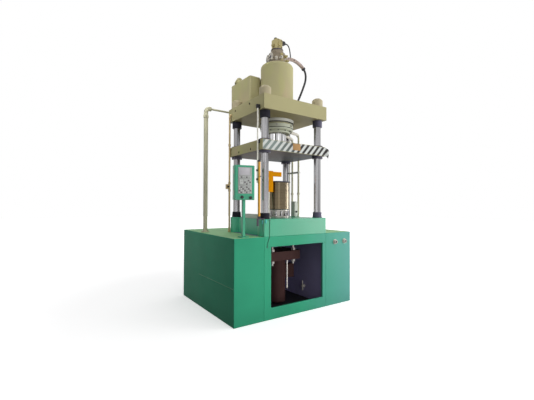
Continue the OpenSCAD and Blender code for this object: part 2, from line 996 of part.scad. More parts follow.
front_panel();
bay_walls();
bay_floor();
bed();
tank_left();
tank_right();
tank_rear();
column_front_left();
column_front_right();
column_back_left();
column_back_right();
foot_collars();
head_collars();
column_nuts();
crown();
main_cylinder();
lock_ring();
rod_gland();
filling_tank();
tank_breather();
filling_valve();
valve_block();
valve_knob();
valve_connector();
valve_cable();
hose_sleeve();
pressure_hose();
hose_union();
return_pipe();
return_line();
pendant_post();
pendant_box();
curtain_bracket();
light_curtain();
switch_rod();
limit_switches();
lube_pipe();
feed_pipes();
pipe_clamp();
cable_duct();
curtain_lead();
junction_box();
die_base();
die_body();
die_ring();
bracket_post();
bracket_arm();
ejector_plate();
ejector_studs();
ejector_cylinder();
ejector_block();
indicator_rod();
front_couplings();
slide_plate();
upper_bushes();
lower_bushes();
piston_rod();
slide_dog();
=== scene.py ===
"""Looks of a four-column hydraulic press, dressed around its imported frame.

Metres, +Z up, the front faces -Y. Places are worked out from the frame's own boxes. Turned profiles are
lists of (radius, height) points, in millimetres unless a comment says otherwise.
"""

import math

import bmesh
import bpy
from mathutils import Matrix, Vector


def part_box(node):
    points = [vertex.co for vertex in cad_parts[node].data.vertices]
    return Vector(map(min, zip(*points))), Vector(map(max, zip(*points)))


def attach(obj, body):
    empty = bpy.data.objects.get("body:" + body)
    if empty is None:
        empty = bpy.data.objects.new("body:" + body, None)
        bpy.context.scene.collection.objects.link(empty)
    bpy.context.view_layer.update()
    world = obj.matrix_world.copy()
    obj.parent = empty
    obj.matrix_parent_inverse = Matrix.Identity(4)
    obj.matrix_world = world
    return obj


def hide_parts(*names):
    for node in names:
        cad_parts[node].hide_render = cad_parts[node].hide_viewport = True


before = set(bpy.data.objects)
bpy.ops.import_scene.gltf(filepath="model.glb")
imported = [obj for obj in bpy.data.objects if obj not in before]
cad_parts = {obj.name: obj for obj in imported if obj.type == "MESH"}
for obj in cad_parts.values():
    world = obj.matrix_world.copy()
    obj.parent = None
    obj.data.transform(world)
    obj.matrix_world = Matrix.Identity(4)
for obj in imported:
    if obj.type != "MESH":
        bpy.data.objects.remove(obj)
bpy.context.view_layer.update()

MM = 0.001
TURN = 2 * math.pi
UP = Vector((0, 0, 1))


def new_object(name, data):
    obj = bpy.data.objects.new(name, data)
    bpy.context.scene.collection.objects.link(obj)
    return obj


# Camera, at the photograph's viewing angle

CAMERA_AT = Vector((-2.673, -3.953, 1.391))
CAMERA_YAW, CAMERA_PITCH, CAMERA_ROLL = map(math.radians, (34.42, 0.761, 0.229))
CAMERA_LENS = 21.52
SENSOR_WIDTH = 36.0


def add_camera():
    data = bpy.data.cameras.new("camera")
    data.sensor_fit = "HORIZONTAL"
    data.sensor_width = SENSOR_WIDTH
    data.lens = CAMERA_LENS
    camera = new_object("camera", data)
    turn = (Matrix.Rotation(-CAMERA_YAW, 4, "Z") @ Matrix.Rotation(math.pi / 2 + CAMERA_PITCH, 4, "X")
            @ Matrix.Rotation(CAMERA_ROLL, 4, "Z"))
    camera.matrix_world = Matrix.Translation(CAMERA_AT) @ turn
    bpy.context.scene.camera = camera


# Materials, all procedural, from screen colours

NOISE_BAND = (0.3, 0.7)  # where most of a noise texture's values lie
RIGHT_LIGHT_END = 0.95  # how far to the right the painted light reaches its full colour
DARKER_LOW_HEIGHT = 0.22
PATCH_SHAPE = (1.6, 1.6, 0.7)
PATCH_BAND = (0.5, 0.66)
PATCH_COVER = 0.55


def srgb(r, g, b, share=1.0):
    """A screen colour, 0 to 255, or a share of it, as the linear colour that shaders take."""
    linear = (((c / 255 + 0.055) / 1.055) ** 2.4 if c > 10 else c / 3295 for c in (r, g, b))
    return tuple(c * share for c in linear) + (1.0,)


def enabled(sockets, name=None):
    """The socket in use, of those that a node has for each type of data."""
    return [s for s in sockets if s.enabled and name in (None, s.name)][0]


class Nodes:
    """The nodes of a material or a world, and short calls that add and link them."""

    def __init__(self, owner):
        owner.use_nodes = True
        self.nodes = owner.node_tree.nodes
        self.links = owner.node_tree.links

    def join(self, value, socket):
        if isinstance(value, bpy.types.NodeSocket):
            self.links.new(value, socket)
        else:
            socket.default_value = value

    def fill(self, node, **inputs):
        """Gives a node's inputs numbers or other nodes' outputs; an underscore stands for a space."""
        for name, value in inputs.items():
            self.join(value, enabled(node.inputs, name.replace("_", " ")))

    def add(self, kind, **inputs):
        node = self.nodes.new("ShaderNode" + kind)
        self.fill(node, **inputs)
        return node

    def maths(self, kind, operation, *values):
        node = self.add(kind)
        node.operation = operation
        for value, socket in zip(values, node.inputs):
            self.join(value, socket)
        return node.outputs["Value"]

    def ramp(self, value, *stops):
        """A colour ramp through stops of (position, colour)."""
        node = self.add("ValToRGB", Fac=value)
        elements = node.color_ramp.elements
        while len(elements) < len(stops):
            elements.new(0.5)
        for element, (position, colour) in zip(elements, stops):
            element.position = position
            element.color = colour
        return node.outputs["Color"]

    def mix(self, factor, first, second, kind="RGBA"):
        node = self.add("Mix")
        node.data_type = kind
        self.fill(node, Factor=factor, A=first, B=second)
        return enabled(node.outputs)

    def scaled(self, value, low, high, first=0.0, last=1.0, kind="LINEAR"):
        node = self.add("MapRange", Value=value, From_Min=low, From_Max=high, To_Min=first, To_Max=last)
        node.interpolation_type = kind
        return node.outputs["Result"]

    def background_share(self):
        """1 on the rays that show the background: to the camera, in metal and through glass."""
        rays = self.add("LightPath").outputs
        share = rays["Is Camera Ray"]
        for kind in ("Is Glossy Ray", "Is Transmission Ray"):
            share = self.maths("Math", "MAXIMUM", share, rays[kind])
        return share


class Shader(Nodes):
    """A new material, with its main shader and the object's own coordinates."""

    def __init__(self, name):
        self.material = bpy.data.materials.new(name)
        super().__init__(self.material)
        self.main = self.nodes["Principled BSDF"]
        self.place = self.add("TexCoord").outputs["Object"]

    def set(self, **inputs):
        self.fill(self.main, **inputs)

    def stretch(self, x, y, z):
        return self.add("Mapping", Vector=self.place, Scale=(x, y, z)).outputs["Vector"]

    def noise(self, scale, detail=3.0, where=None):
        return self.add("TexNoise", Vector=where or self.place, Scale=scale, Detail=detail).outputs["Fac"]

    def along(self, axis):
        return self.add("SeparateXYZ", Vector=self.place).outputs[axis]

    def tones(self, noise, colour, low, high):
        """A colour that varies with a noise, between two shares of itself."""
        return self.ramp(noise, *zip(NOISE_BAND, (srgb(*colour, low), srgb(*colour, high))))

    def varied(self, noise, number, low, high):
        """A number that varies likewise."""
        return self.scaled(noise, *NOISE_BAND, number * low, number * high)

    def bump(self, value, strength, depth):
        self.set(Normal=self.add("Bump", Height=value, Strength=strength, Distance=depth).outputs["Normal"])


def enamel(name, colour, rough, spread=0.08, darker_low=0.0, gloss=0.5, patches=(), painted_right_light=None):
    """Brushed or sprayed machine paint: cloudy colour, touched-up patches, and, where asked, darker blotches
    towards the bottom.

    The colour given for the machine's right-hand side, where given, is painted light: the paint turns lighter
    or bluer towards the right because of how light falls and shines there.
    """
    s = Shader(name)
    tint = s.tones(s.noise(2.3, 4.0), colour, 1 - spread, 1 + spread)
    # Painted light: the colour turns lighter or bluer towards the machine's right-hand side.
    if painted_right_light:
        tint = s.mix(s.scaled(s.along("X"), 0.0, RIGHT_LIGHT_END), tint, srgb(*painted_right_light))
    for scale, patch in patches:
        where = s.noise(scale, 2.0, s.stretch(*PATCH_SHAPE))
        tint = s.mix(s.scaled(where, *PATCH_BAND, 0.0, PATCH_COVER), tint, srgb(*patch))
    # Darker towards the bottom, in blotches.
    if darker_low:
        low = s.scaled(s.along("Z"), 0.0, DARKER_LOW_HEIGHT, darker_low, 0.0)
        tint = s.mix(s.maths("Math", "MULTIPLY", low, s.noise(9.0, 6.0)), tint, srgb(*colour, 0.25))
    s.set(Base_Color=tint, Roughness=s.varied(s.noise(3.0, 2.0), rough, 0.94, 1.06), Specular_IOR_Level=gloss)
    return s.material


def metal(name, colour, rough, stretch, spread, coat=0.0):
    """Bare metal with tool marks drawn out along the axis that is stretched least; with a wide spread, as on
    chrome and the rod, these streaks are painted reflections, dark and light bands.
    """
    s = Shader(name)
    marks_and_reflections = s.noise(6.0, 5.0, s.stretch(*stretch))
    s.set(Base_Color=s.tones(marks_and_reflections, colour, 1 - spread, 1 + spread), Metallic=1.0,
          Roughness=s.varied(marks_and_reflections, rough, 0.7, 1.3), Coat_Weight=coat, Coat_Roughness=0.12)
    return s.material


def plastic(name, colour, rough, grain=220.0):
    """Moulded plastic or rubber with a fine grain."""
    s = Shader(name)
    s.set(Base_Color=s.tones(s.noise(12.0), colour, 0.9, 1.12),
          Roughness=s.varied(s.noise(30.0), rough, 0.85, 1.15))
    s.bump(s.noise(grain, 2.0), 0.1, 1 * MM)
    return s.material


def tape_black():
    """Black tape, grey-green towards the slide's left end: there the colour is a painted sheen."""
    s = Shader("tape_black")
    # Painted sheen: grey-green towards the left end.
    left_sheen = s.scaled(s.along("X"), -0.56, 0.0)
    tint = s.ramp(left_sheen, (0.3, srgb(118, 130, 125)), (1.0, srgb(50, 47, 46)))
    s.set(Base_Color=tint, Roughness=0.5, Specular_IOR_Level=0.25)
    return s.material


def slide_under():
    """Ground steel in streaks from side to side, with painted reflections: brown on the left, blue-grey on
    the right.
    """
    s = Shader("ground_steel")
    # Painted reflections: brown on the left, blue-grey on the right.
    side_reflections = s.ramp(s.scaled(s.along("X"), -0.5, 0.5), (0.2, srgb(94, 74, 64)), (0.8, srgb(74, 79, 88)))
    streaks = s.scaled(s.noise(5.0, 3.0, s.stretch(0.5, 3.0, 1.0)), 0.44, 0.6)
    s.set(Base_Color=s.mix(streaks, side_reflections, srgb(88, 82, 80)), Roughness=0.5, Specular_IOR_Level=0.06)
    return s.material


def hose_wrap():
    """Scuffed brown wrap with dark spots."""
    s = Shader("hose_wrap")
    spots = s.ramp(s.noise(38.0, 3.0), (0.52, srgb(178, 160, 150)), (0.64, srgb(98, 84, 80)))
    s.set(Base_Color=spots, Roughness=0.55)
    s.bump(s.noise(90.0), 0.3, 2 * MM)
    return s.material


GREEN = (48, 153, 116)
KHAKI_PATCHES = ((2.2, (178, 160, 132)), (3.1, (170, 168, 116)))

M = {
    "green": enamel("green_enamel", GREEN, 0.3, spread=0.06),
    # Painted sheen: the satin green turns bluer and paler towards the right.
    "satin": enamel("green_satin", GREEN, 0.35, spread=0.06, darker_low=0.35, gloss=0.2, painted_right_light=(84, 152, 142)),
    # Painted sheen: a little redder than GREEN, in place of the gloss that it lacks.
    "dull": enamel("green_dull", (56, 152, 117), 0.4, spread=0.06, darker_low=0.35, gloss=0.03),
    # Painted light: the tank tops are paler, as though lit from above.
    "dusty": enamel("green_top_light", (158, 204, 154), 0.6, spread=0.1, gloss=0.03),
    "khaki": enamel("khaki_enamel", (167, 161, 123), 0.48, spread=0.05, gloss=0.1, patches=KHAKI_PATCHES),
    "crown": enamel("crown_enamel", (162, 156, 117), 0.48, spread=0.05, gloss=0.1),
    "crown_under": enamel("crown_shade", (146, 137, 104), 0.5, spread=0.12, gloss=0.05),
    "nut": enamel("nut_paint", (172, 162, 134), 0.5, spread=0.1, gloss=0.1),
    "pipe": enamel("pipe_paint", (190, 187, 160), 0.45, gloss=0.1),
    "grey": enamel("grey_enamel", (182, 186, 168), 0.45, gloss=0.35),
    "lock": enamel("lock_grey", (192, 193, 186), 0.4, spread=0.1),
    "dark": enamel("dark_steel", (30, 28, 30), 0.65, gloss=0.3),
    "bay": enamel("bay_shade", (138, 132, 166), 0.6, gloss=0.3),
    "black": enamel("black_steel", (58, 54, 68), 0.4, gloss=0.4),
    # Painted light: the collars are lighter towards the right and darker on the left.
    "collar": enamel("collar_steel", (42, 41, 48), 0.4, gloss=0.04, painted_right_light=(132, 129, 152)),
    # Chrome and the rod: their strong streaks are painted reflections.
    "chrome": metal("chrome_steel", (156, 155, 157), 0.15, (6.0, 6.0, 0.1), 0.6),
    "rod": metal("rod_chrome", (186, 186, 187), 0.07, (5.0, 5.0, 0.1), 0.6),
    "steel": metal("bare_steel", (160, 156, 150), 0.36, (8.0, 8.0, 8.0), 0.08),
    "ground": slide_under(),
    "brass": metal("brass", (174, 163, 119), 0.5, (9.0, 9.0, 9.0), 0.12),
    "plastic": plastic("black_plastic", (24, 24, 27), 0.45),
    "rubber": plastic("black_rubber", (34, 34, 38), 0.6, 400.0),
    "yellow": enamel("yellow_paint", (208, 154, 58), 0.5, gloss=0.25),
    "orange": enamel("orange_paint", (204, 133, 4), 0.7, gloss=0.05),
    # Painted reflection: plated fittings as light grey paint, as though they reflected a bright room.
    "painted_reflection": enamel("plating_painted_reflection", (182, 177, 166), 0.35, spread=0.2, gloss=0.6),
    "pale": enamel("pale_paint", (220, 218, 206), 0.45),
    "clip": plastic("clip_teal", (74, 176, 174), 0.5),
    "gauge": enamel("gauge_white", (246, 240, 230), 0.45),
    "die": metal("die_steel", (97, 85, 63), 0.2, (0.3, 0.3, 12.0), 0.08, coat=0.5),
    "oxide": enamel("red_oxide", (66, 45, 43), 0.6, spread=0.16, gloss=0.08),
    "wrap": hose_wrap(),
    "lead": plastic("lead_green", (58, 104, 86), 0.5),
    "lube": enamel("lube_paint", (186, 164, 120), 0.45),
    "tape": tape_black(),
    "white": plastic("tape_white", (187, 190, 186), 0.5, 80.0),
    "plate": enamel("orange_plate", (164, 128, 84), 0.5, gloss=0.15),
    "screen": plastic("screen_grey", (176, 174, 178), 0.35, 500.0),
    "panel": enamel("panel_grey", (158, 160, 157), 0.5, gloss=0.3),
    "key": enamel("key_grey", (104, 99, 102), 0.5, gloss=0.3),
    "seam": enamel("seam_green", (126, 180, 150), 0.4, gloss=0.03),
    "valve": enamel("valve_iron", (135, 124, 107), 0.45, spread=0.2, gloss=0.12),
    "box": enamel("box_grey", (206, 208, 200), 0.5, gloss=0.3),
}
SLOTS = {look: slot for slot, looks in {
    "green_enamel": ("green", "satin", "dull", "seam"),
    "khaki_enamel": ("khaki", "lube", "nut", "crown", "pipe"),
    "grey_enamel": ("grey", "lock", "screen", "panel", "box"),
    "dark_steel": ("dark", "key"),
    "black_steel": ("black", "collar"),
    "chrome_steel": ("chrome",),
    "bare_steel": ("steel", "wrap", "valve", "painted_reflection"),
    "brass": ("brass",),
    "black_plastic": ("plastic", "tape", "clip"),
    "black_rubber": ("rubber",),
    "yellow_paint": ("yellow",),
    "orange_paint": ("orange", "plate"),
    "pale_paint": ("pale", "white"),
    "die_steel": ("die",),
    "red_oxide": ("oxide",),
}.items() for look in looks}


# Mesh helpers

SMOOTH_ANGLE = math.radians(32)
TO_FRONT = Matrix.Rotation(math.pi / 2, 3, "X")
TO_LEFT = Matrix.Rotation(-math.pi / 2, 3, "Y")
TO_RIGHT = Matrix.Rotation(math.pi / 2, 3, "Y")
TO_FLOOR = Matrix.Rotation(math.pi, 3, "X")


def finish_mesh(bm, name, *looks):
    """The mesh as a new object at the origin, smooth between its sharp edges, with these materials."""
    bmesh.ops.recalc_face_normals(bm, faces=bm.faces)
    mesh = bpy.data.meshes.new(name)
    bm.to_mesh(mesh)
    bm.free()
    for face in mesh.polygons:
        face.use_smooth = True
    mesh.set_sharp_from_angle(angle=SMOOTH_ANGLE)
    for look in looks:
        mesh.materials.append(M[look])
    return new_object(name, mesh)


def piece(bm, name, look, body="frame", more=(), replaces=()):
    obj = finish_mesh(bm, name, look, *more)
    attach(obj, body)
    if replaces:
        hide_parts(*replaces)
    return obj


def add_turned(bm, profile, at, turn, steps, wide=MM, tall=MM):
    """Turns a profile of (radius, height) points about an axis; ends on the axis are closed.

    wide and tall are the units of its radii and heights.
    """
    place = Matrix.Translation(at) @ (turn.to_4x4() if turn else Matrix.Identity(4))
    rings = []
    for radius, height in profile:
        r, z = radius * wide, height * tall
        angles = [TURN * k / steps for k in range(steps if radius else 1)]
        rings.append([bm.verts.new(place @ Vector((r * math.cos(a), r * math.sin(a), z))) for a in angles])
    for low, high in zip(rings, rings[1:]):
        for k in range(steps):
            corners = [low[k % len(low)], low[(k + 1) % len(low)],
                       high[(k + 1) % len(high)], high[k % len(high)]]
            unique = list(dict.fromkeys(corners))
            if len(unique) > 2:
                bm.faces.new(unique)


def add_block(bm, low, high, bevel, look=0, turn=None, about=None):
    """An axis-aligned block between two corners, with rounded edges, optionally turned about a point."""
    low, high = Vector(low), Vector(high)
    corners = bmesh.ops.create_cube(bm, size=1.0)["verts"]
    bmesh.ops.scale(bm, vec=high - low, verts=corners)
    bmesh.ops.translate(bm, vec=middle(low, high), verts=corners)
    faces = {f for v in corners for f in v.link_faces}
    edges = list({e for v in corners for e in v.link_edges})
    done = bmesh.ops.bevel(bm, geom=edges, offset=bevel, segments=2, profile=0.5, affect="EDGES")
    faces = {f for v in done["verts"] for f in v.link_faces} | {f for f in faces if f.is_valid}
    if turn:
        verts = list({v for f in faces for v in f.verts})
        bmesh.ops.rotate(bm, cent=about, matrix=turn, verts=verts)
    for face in faces:
        face.material_index = look


def smooth_path(points, steps=6):
    """A smooth curve through points, as many short straight steps."""
    pts = [Vector(p) for p in points]
    ends = [2 * pts[0] - pts[1]] + pts + [2 * pts[-1] - pts[-2]]
    path = []
    for a, b, c, d in zip(ends, ends[1:], ends[2:], ends[3:]):
        for k in range(steps):
            t = k / steps
            path.append(0.5 * (2 * b + (c - a) * t + (2 * a - 5 * b + 4 * c - d) * t * t
                               + (3 * b - a - 3 * c + d) * t ** 3))
    return path + [pts[-1]]


def add_tube(bm, path, radius, sides, wave=None):
    """A round tube along a path, closed at both ends; wave(i) scales the radius of ring i."""
    rings = []
    normal = None
    for i, point in enumerate(path):
        ahead = (path[min(i + 1, len(path) - 1)] - path[max(i - 1, 0)]).normalized()
        if normal is None:
            normal = ahead.orthogonal().normalized()
        normal = (normal - normal.dot(ahead) * ahead).normalized()
        other = ahead.cross(normal)
        size = radius * (wave(i) if wave else 1.0)
        angles = [TURN * k / sides for k in range(sides)]
        rings.append([bm.verts.new(point + size * (math.cos(a) * normal + math.sin(a) * other))
                      for a in angles])
    for low, high in zip(rings, rings[1:]):
        for k in range(sides):
            bm.faces.new((low[k], low[(k + 1) % sides], high[(k + 1) % sides], high[k]))
    bm.faces.new(rings[0])
    bm.faces.new(rings[-1])


# Fasteners' profiles, in shares of their size
WASHER = [(0, 0), (1.15, 0), (1.15, 0.2), (0, 0.2)]
BOLT_HEAD = [(0, 0.2), (1, 0.2), (1, 0.75), (0.86, 0.9), (0, 0.9)]
SCREW_SIDE = [(1, 0), (1, 0.85), (0.88, 1)]
SCREW_SOCKET = [(0.88, 1), (0.55, 1), (0.5, 0.45), (0, 0.45)]


def add_bolt(bm, at, size, turn=None):
    """A hexagon head on its washer, standing on a point and facing along the turned +Z."""
    add_turned(bm, WASHER, at, turn, 24, size, size)
    add_turned(bm, BOLT_HEAD, at, turn, 6, size, size)


def add_socket_screw(bm, at, size, turn):
    """A round head with a round socket."""
    for profile in (SCREW_SIDE, SCREW_SOCKET):
        add_turned(bm, profile, at, turn, 20, size, size)


def outward(angle):
    return Vector((math.cos(angle), math.sin(angle), 0))


def around(at, radius, count, start=0.0):
    """Points in a flat ring."""
    for k in range(count):
        yield Vector(at) + radius * outward(TURN * (k + start) / count)


def middle(low, high):
    return (low + high) / 2


def centre(node):
    return middle(*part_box(node))


AXIS = centre("piston_rod")


def on_axis(z):
    return Vector((AXIS.x, AXIS.y, z))


def turned_piece(name, look, profile, at, turn, steps):
    bm = bmesh.new()
    add_turned(bm, profile, at, turn, steps)
    piece(bm, name, look)


def turned_node(node, name, look, profile, steps):
    """Stands for an upright node: a profile in shares of its radius and height."""
    low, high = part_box(node)
    at = centre(node)
    bm = bmesh.new()
    add_turned(bm, profile, (at.x, at.y, low.z), None, steps, (high.x - low.x) / 2, high.z - low.z)
    piece(bm, name, look, replaces=(node,))


# Frame nodes: eased skins on the large ones, plain paint on the rest

SKIN_DEPTH = 6 * MM
FLAT_ANGLE = math.radians(0.6)
EDGE_ANGLE = math.radians(38)
LEVEL = 0.98
COLUMNS = ("column_front_left", "column_front_right", "column_back_left", "column_back_right")
PAINTED = {
    # bay_floor's dark colour is painted shade in the bay.
    "bay_walls": "bay", "bay_floor": "dark", **dict.fromkeys(COLUMNS, "chrome"), "piston_rod": "rod",
    "valve_knob": "plastic", "valve_cable": "rubber", "hose_sleeve": "wrap", "pressure_hose": "rubber",
    "hose_union": "steel", "return_pipe": "pipe", "return_line": "pipe", "curtain_bracket": "black",
    "limit_switches": "plastic", "lube_pipe": "lube", "feed_pipes": "pipe", "curtain_lead": "lead",
    "die_body": "die", "bracket_post": "pale", "ejector_studs": "steel", "indicator_rod": "gauge",
    "front_couplings": "steel", "slide_dog": "plastic",
}


def eased(node, look, bevel, body="frame", under=None, over=None, inside=None):
    """Stands for a node: the same solid with its sharp edges eased, as paint and machining leave them.

    under and over, where given, are the looks of the faces that point straight down and straight up;
    the look given for the holes paints shade on their inner faces.
    """
    low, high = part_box(node)
    more = tuple(extra for extra in (under, over, inside) if extra)
    bm = bmesh.new()
    bm.from_mesh(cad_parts[node].data)
    bmesh.ops.remove_doubles(bm, verts=bm.verts, dist=1e-5)
    bmesh.ops.dissolve_limit(bm, angle_limit=FLAT_ANGLE, verts=bm.verts, edges=bm.edges)
    sharp = [e for e in bm.edges if len(e.link_faces) == 2 and e.calc_face_angle() > EDGE_ANGLE]
    bmesh.ops.bevel(bm, geom=sharp, offset=bevel, segments=2, profile=0.6, affect="EDGES", clamp_overlap=True)
    bm.normal_update()
    for face in bm.faces:
        spot, tilt = face.calc_center_median(), face.normal.z
        # Faces deep inside the box are the holes'; their look is painted shade.
        in_hole = all(a + SKIN_DEPTH < c < b - SKIN_DEPTH for a, c, b in zip(low, spot, high))
        for extra, fits in ((under, tilt < -LEVEL), (over, tilt > LEVEL), (inside, in_hole)):
            if extra and fits:
                face.material_index = 1 + more.index(extra)
                break
    obj = piece(bm, node + "_skin", look, body, more, (node,))
    obj.modifiers.new("even_normals", "WEIGHTED_NORMAL")


def ease(look, bevel, *nodes, **more):
    for node in nodes:
        eased(node, look, bevel * MM, **more)


def dress_nodes():
    """Gives every node of the frame its finish."""
    ease("satin", 6, "front_panel")
    ease("satin", 6, "tank_right", "tank_rear", over="dusty")
    ease("dull", 6, "tank_left", over="dusty")
    ease("green", 6, "bed")
    ease("green", 3, "pendant_post")
    ease("green", 7, "pendant_box")
    # The crown's holes are painted dark: painted shade.
    ease("crown", 5, "crown", under="crown_under", inside="dark")
    ease("khaki", 5, "main_cylinder", "filling_tank", "tank_breather")
    ease("nut", 5, "column_nuts")
    # The slide's holes are painted dark: painted shade.
    ease("khaki", 5, "slide_plate", body="slide", under="ground", inside="dark")
    ease("lock", 3, "lock_ring")
    ease("grey", 3, "rod_gland")
    ease("box", 3, "junction_box", "pipe_clamp", "cable_duct")
    ease("collar", 3, "head_collars", "foot_collars")
    ease("black", 3, "die_ring")
    ease("black", 2, "upper_bushes", "lower_bushes", body="slide")
    ease("oxide", 4, "ejector_plate", "ejector_cylinder", "ejector_block")
    ease("yellow", 3, "light_curtain")
    ease("orange", 3, "bracket_arm")
    ease("valve", 3, "filling_valve")
    ease("steel", 2, "die_base")
    ease("brass", 4, "valve_block")
    ease("plastic", 5, "valve_connector")
    for node, look in PAINTED.items():
        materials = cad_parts[node].data.materials
        materials.clear()
        materials.append(M[look])


# Cords, along the routes that the frame gives them: millimetres right of the axis and above the cylinder

CABLE_ROUTE = [(126, 358), (152, 363), (174, 362), (194, 353), (209, 336), (220, 312), (228, 284),
               (234, 254), (239, 222), (242, 186)]
SLEEVE_ROUTE = [(148, 140), (190, 154), (232, 164), (276, 167), (320, 163), (364, 152), (406, 136),
                (446, 115), (482, 90), (500, 72)]
HOSE_ROUTE = [(493, 79), (512, 56), (524, 32), (531, 4), (534, -26), (531, -62), (524, -98), (512, -134),
              (497, -172), (480, -212), (462, -254), (442, -298), (421, -342), (399, -386), (377, -430),
              (356, -472), (341, -506), (333, -530), (330, -548)]
CABLE_D, HOSE_D, SLEEVE_D = 16 * MM, 30 * MM, 50 * MM
CYLINDER_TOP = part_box("main_cylinder")[1].z


def route(points):
    """A route as a smooth path in the frame."""
    return smooth_path([(AXIS.x + x * MM, AXIS.y, CYLINDER_TOP + z * MM) for x, z in points])


def add_cord(name, points, diameter, node):
    path = route(points)
    data = bpy.data.curves.new(name, "CURVE")
    data.dimensions = "3D"
    data.bevel_depth = diameter / 2
    data.bevel_resolution = 4
    data.use_fill_caps = True
    line = data.splines.new("POLY")
    line.points.add(len(path) - 1)
    for target, point in zip(line.points, path):
        target.co = (*point, 1)
    data.materials.append(M["rubber"])
    obj = new_object(name, data)
    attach(obj, "frame")
    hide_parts(node)
    length = sum((b - a).length for a, b in zip(path, path[1:]))
    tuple(path[0])


def add_cords():
    add_cord("valve_cable_cord", CABLE_ROUTE, CABLE_D, "valve_cable")
    add_cord("pressure_hose_cord", HOSE_ROUTE, HOSE_D, "pressure_hose")


# Slide: hazard tape, its loose end, the orange plate

TAPE_T = 0.8 * MM
TAPE_GAP = 0.05 * MM
TAPE_INSET = 4 * MM
STRIPE_W = 44.5 * MM
STRIPE_LEAN = 104 * MM
FLAP_T = 0.6 * MM
FLAP_REACH = 105 * MM
FLAP_STEPS = 14
FLAP_SHORTER, FLAP_TAPER = 0.1, 0.32
FLAP_TUCK, FLAP_BULGE = 0.1, 0.12
FLAP_DROOP, FLAP_SAG = 0.3, 0.25
PLATE_W, PLATE_H, PLATE_T = 126 * MM, 84 * MM, 3 * MM
PLATE_X, PLATE_DROP = 10 * MM, 9 * MM
BUSH_SCREWS, BUSH_SCREW_RING, BUSH_SCREW_SIZE = 6, 60 * MM, 5.5 * MM


def clip_across(shape, limit, keep_above):
    """The part of a flat polygon of (x, z) points on one side of an upright line."""
    kept = []
    for a, b in zip(shape, shape[1:] + shape[:1]):
        inside_a, inside_b = ((p[0] >= limit) == keep_above for p in (a, b))
        if inside_a:
            kept.append(a)
        if inside_a != inside_b:
            t = (limit - a[0]) / (b[0] - a[0])
            kept.append((limit, a[1] + t * (b[1] - a[1])))
    return kept


def stripes(left, right, z0, z1, first):
    """Leaning stripes between two upright lines: each one's polygon of (x, z) points, and 0 or 1 in turn."""
    x = first
    count = 0
    while x < right:
        shape = [(x, z0), (x + STRIPE_W, z0), (x + STRIPE_W + STRIPE_LEAN, z1), (x + STRIPE_LEAN, z1)]
        shape = clip_across(shape, left, True)
        shape = clip_across(shape, right, False)
        if len(shape) > 2:
            yield shape, count % 2
        x += STRIPE_W
        count += 1


def add_tape():
    """Black and white tape over the slide's whole front, with a loose end that droops past its right side."""
    low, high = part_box("slide_plate")
    left, right = low.x + TAPE_INSET, high.x - TAPE_INSET
    z0, z1 = low.z + TAPE_INSET, high.z - TAPE_INSET
    first = left - STRIPE_LEAN
    bm = bmesh.new()
    for shape, turn in stripes(left, right, z0, z1, first):
        ring = [bm.verts.new((px, low.y - TAPE_T, pz)) for px, pz in shape]
        back = [bm.verts.new((px, low.y - TAPE_GAP, pz)) for px, pz in shape]
        faces = [bm.faces.new(ring)]
        faces += [bm.faces.new((ring[i - 1], ring[i], back[i], back[i - 1])) for i in range(len(ring))]
        for face in faces:
            face.material_index = turn
    piece(bm, "hazard_tape", "tape", "slide", ("white",))

    bm = bmesh.new()
    for shape, turn in stripes(right, right + FLAP_REACH, z0, z1, first):
        flat = [bm.verts.new((px, low.y - TAPE_T, pz)) for px, pz in shape]
        bm.faces.new(flat).material_index = turn
    for k in range(1, FLAP_STEPS):
        bmesh.ops.bisect_plane(bm, geom=bm.verts[:] + bm.edges[:] + bm.faces[:],
                               plane_co=(right + FLAP_REACH * k / FLAP_STEPS, 0, 0), plane_no=(1, 0, 0))
    bmesh.ops.remove_doubles(bm, verts=bm.verts, dist=1e-6)
    for vert in bm.verts:
        out = vert.co.x - right
        up = (vert.co.z - z0) / (z1 - z0)
        share = out / FLAP_REACH
        vert.co.x -= out * (FLAP_SHORTER + FLAP_TAPER * share * (1 - up))
        vert.co.y += FLAP_REACH * (FLAP_TUCK * share ** 3 - FLAP_BULGE * math.sin(math.pi * share))
        vert.co.z -= out * (FLAP_DROOP + FLAP_SAG * share)
    bmesh.ops.solidify(bm, geom=bm.faces[:], thickness=FLAP_T)
    piece(bm, "tape_end", "tape", "slide", ("white",))


def dress_slide():
    add_tape()
    low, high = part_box("slide_plate")
    left, top = AXIS.x + PLATE_X - PLATE_W / 2, high.z - PLATE_DROP
    bm = bmesh.new()
    add_block(bm, (left, low.y - PLATE_T, top - PLATE_H), (left + PLATE_W, low.y - TAPE_T, top), 0.8 * MM)
    piece(bm, "slide_plate_orange", "plate", "slide")
    bm = bmesh.new()
    for node in COLUMNS:
        at = centre(node)
        for z, turn in ((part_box("upper_bushes")[1].z, None), (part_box("lower_bushes")[0].z, TO_FLOOR)):
            for spot in around((at.x, at.y, z), BUSH_SCREW_RING, BUSH_SCREWS, 0.5):
                add_socket_screw(bm, spot, BUSH_SCREW_SIZE, turn)
    piece(bm, "bush_screws", "black", "slide")


# Main cylinder's gland

GLAND_SCREWS = ((30, 199, 12, 9), (0, 160, 10, 6))  # rise, ring, count, size
GROOVE_RISE, GROOVE_R = 62 * MM, 228
LOCK_RISE, LOCK_R = 4 * MM, 233
GLAND_PLUG = [(0, 0), (13, 0), (13, 5), (9, 5), (9, 12), (0, 12)]
GLAND_PLUG_DROP, GLAND_PLUG_R = 22 * MM, 226 * MM
GLAND_PLUG_ANGLES = (-2.2, -1.2, -0.4, 2.4)


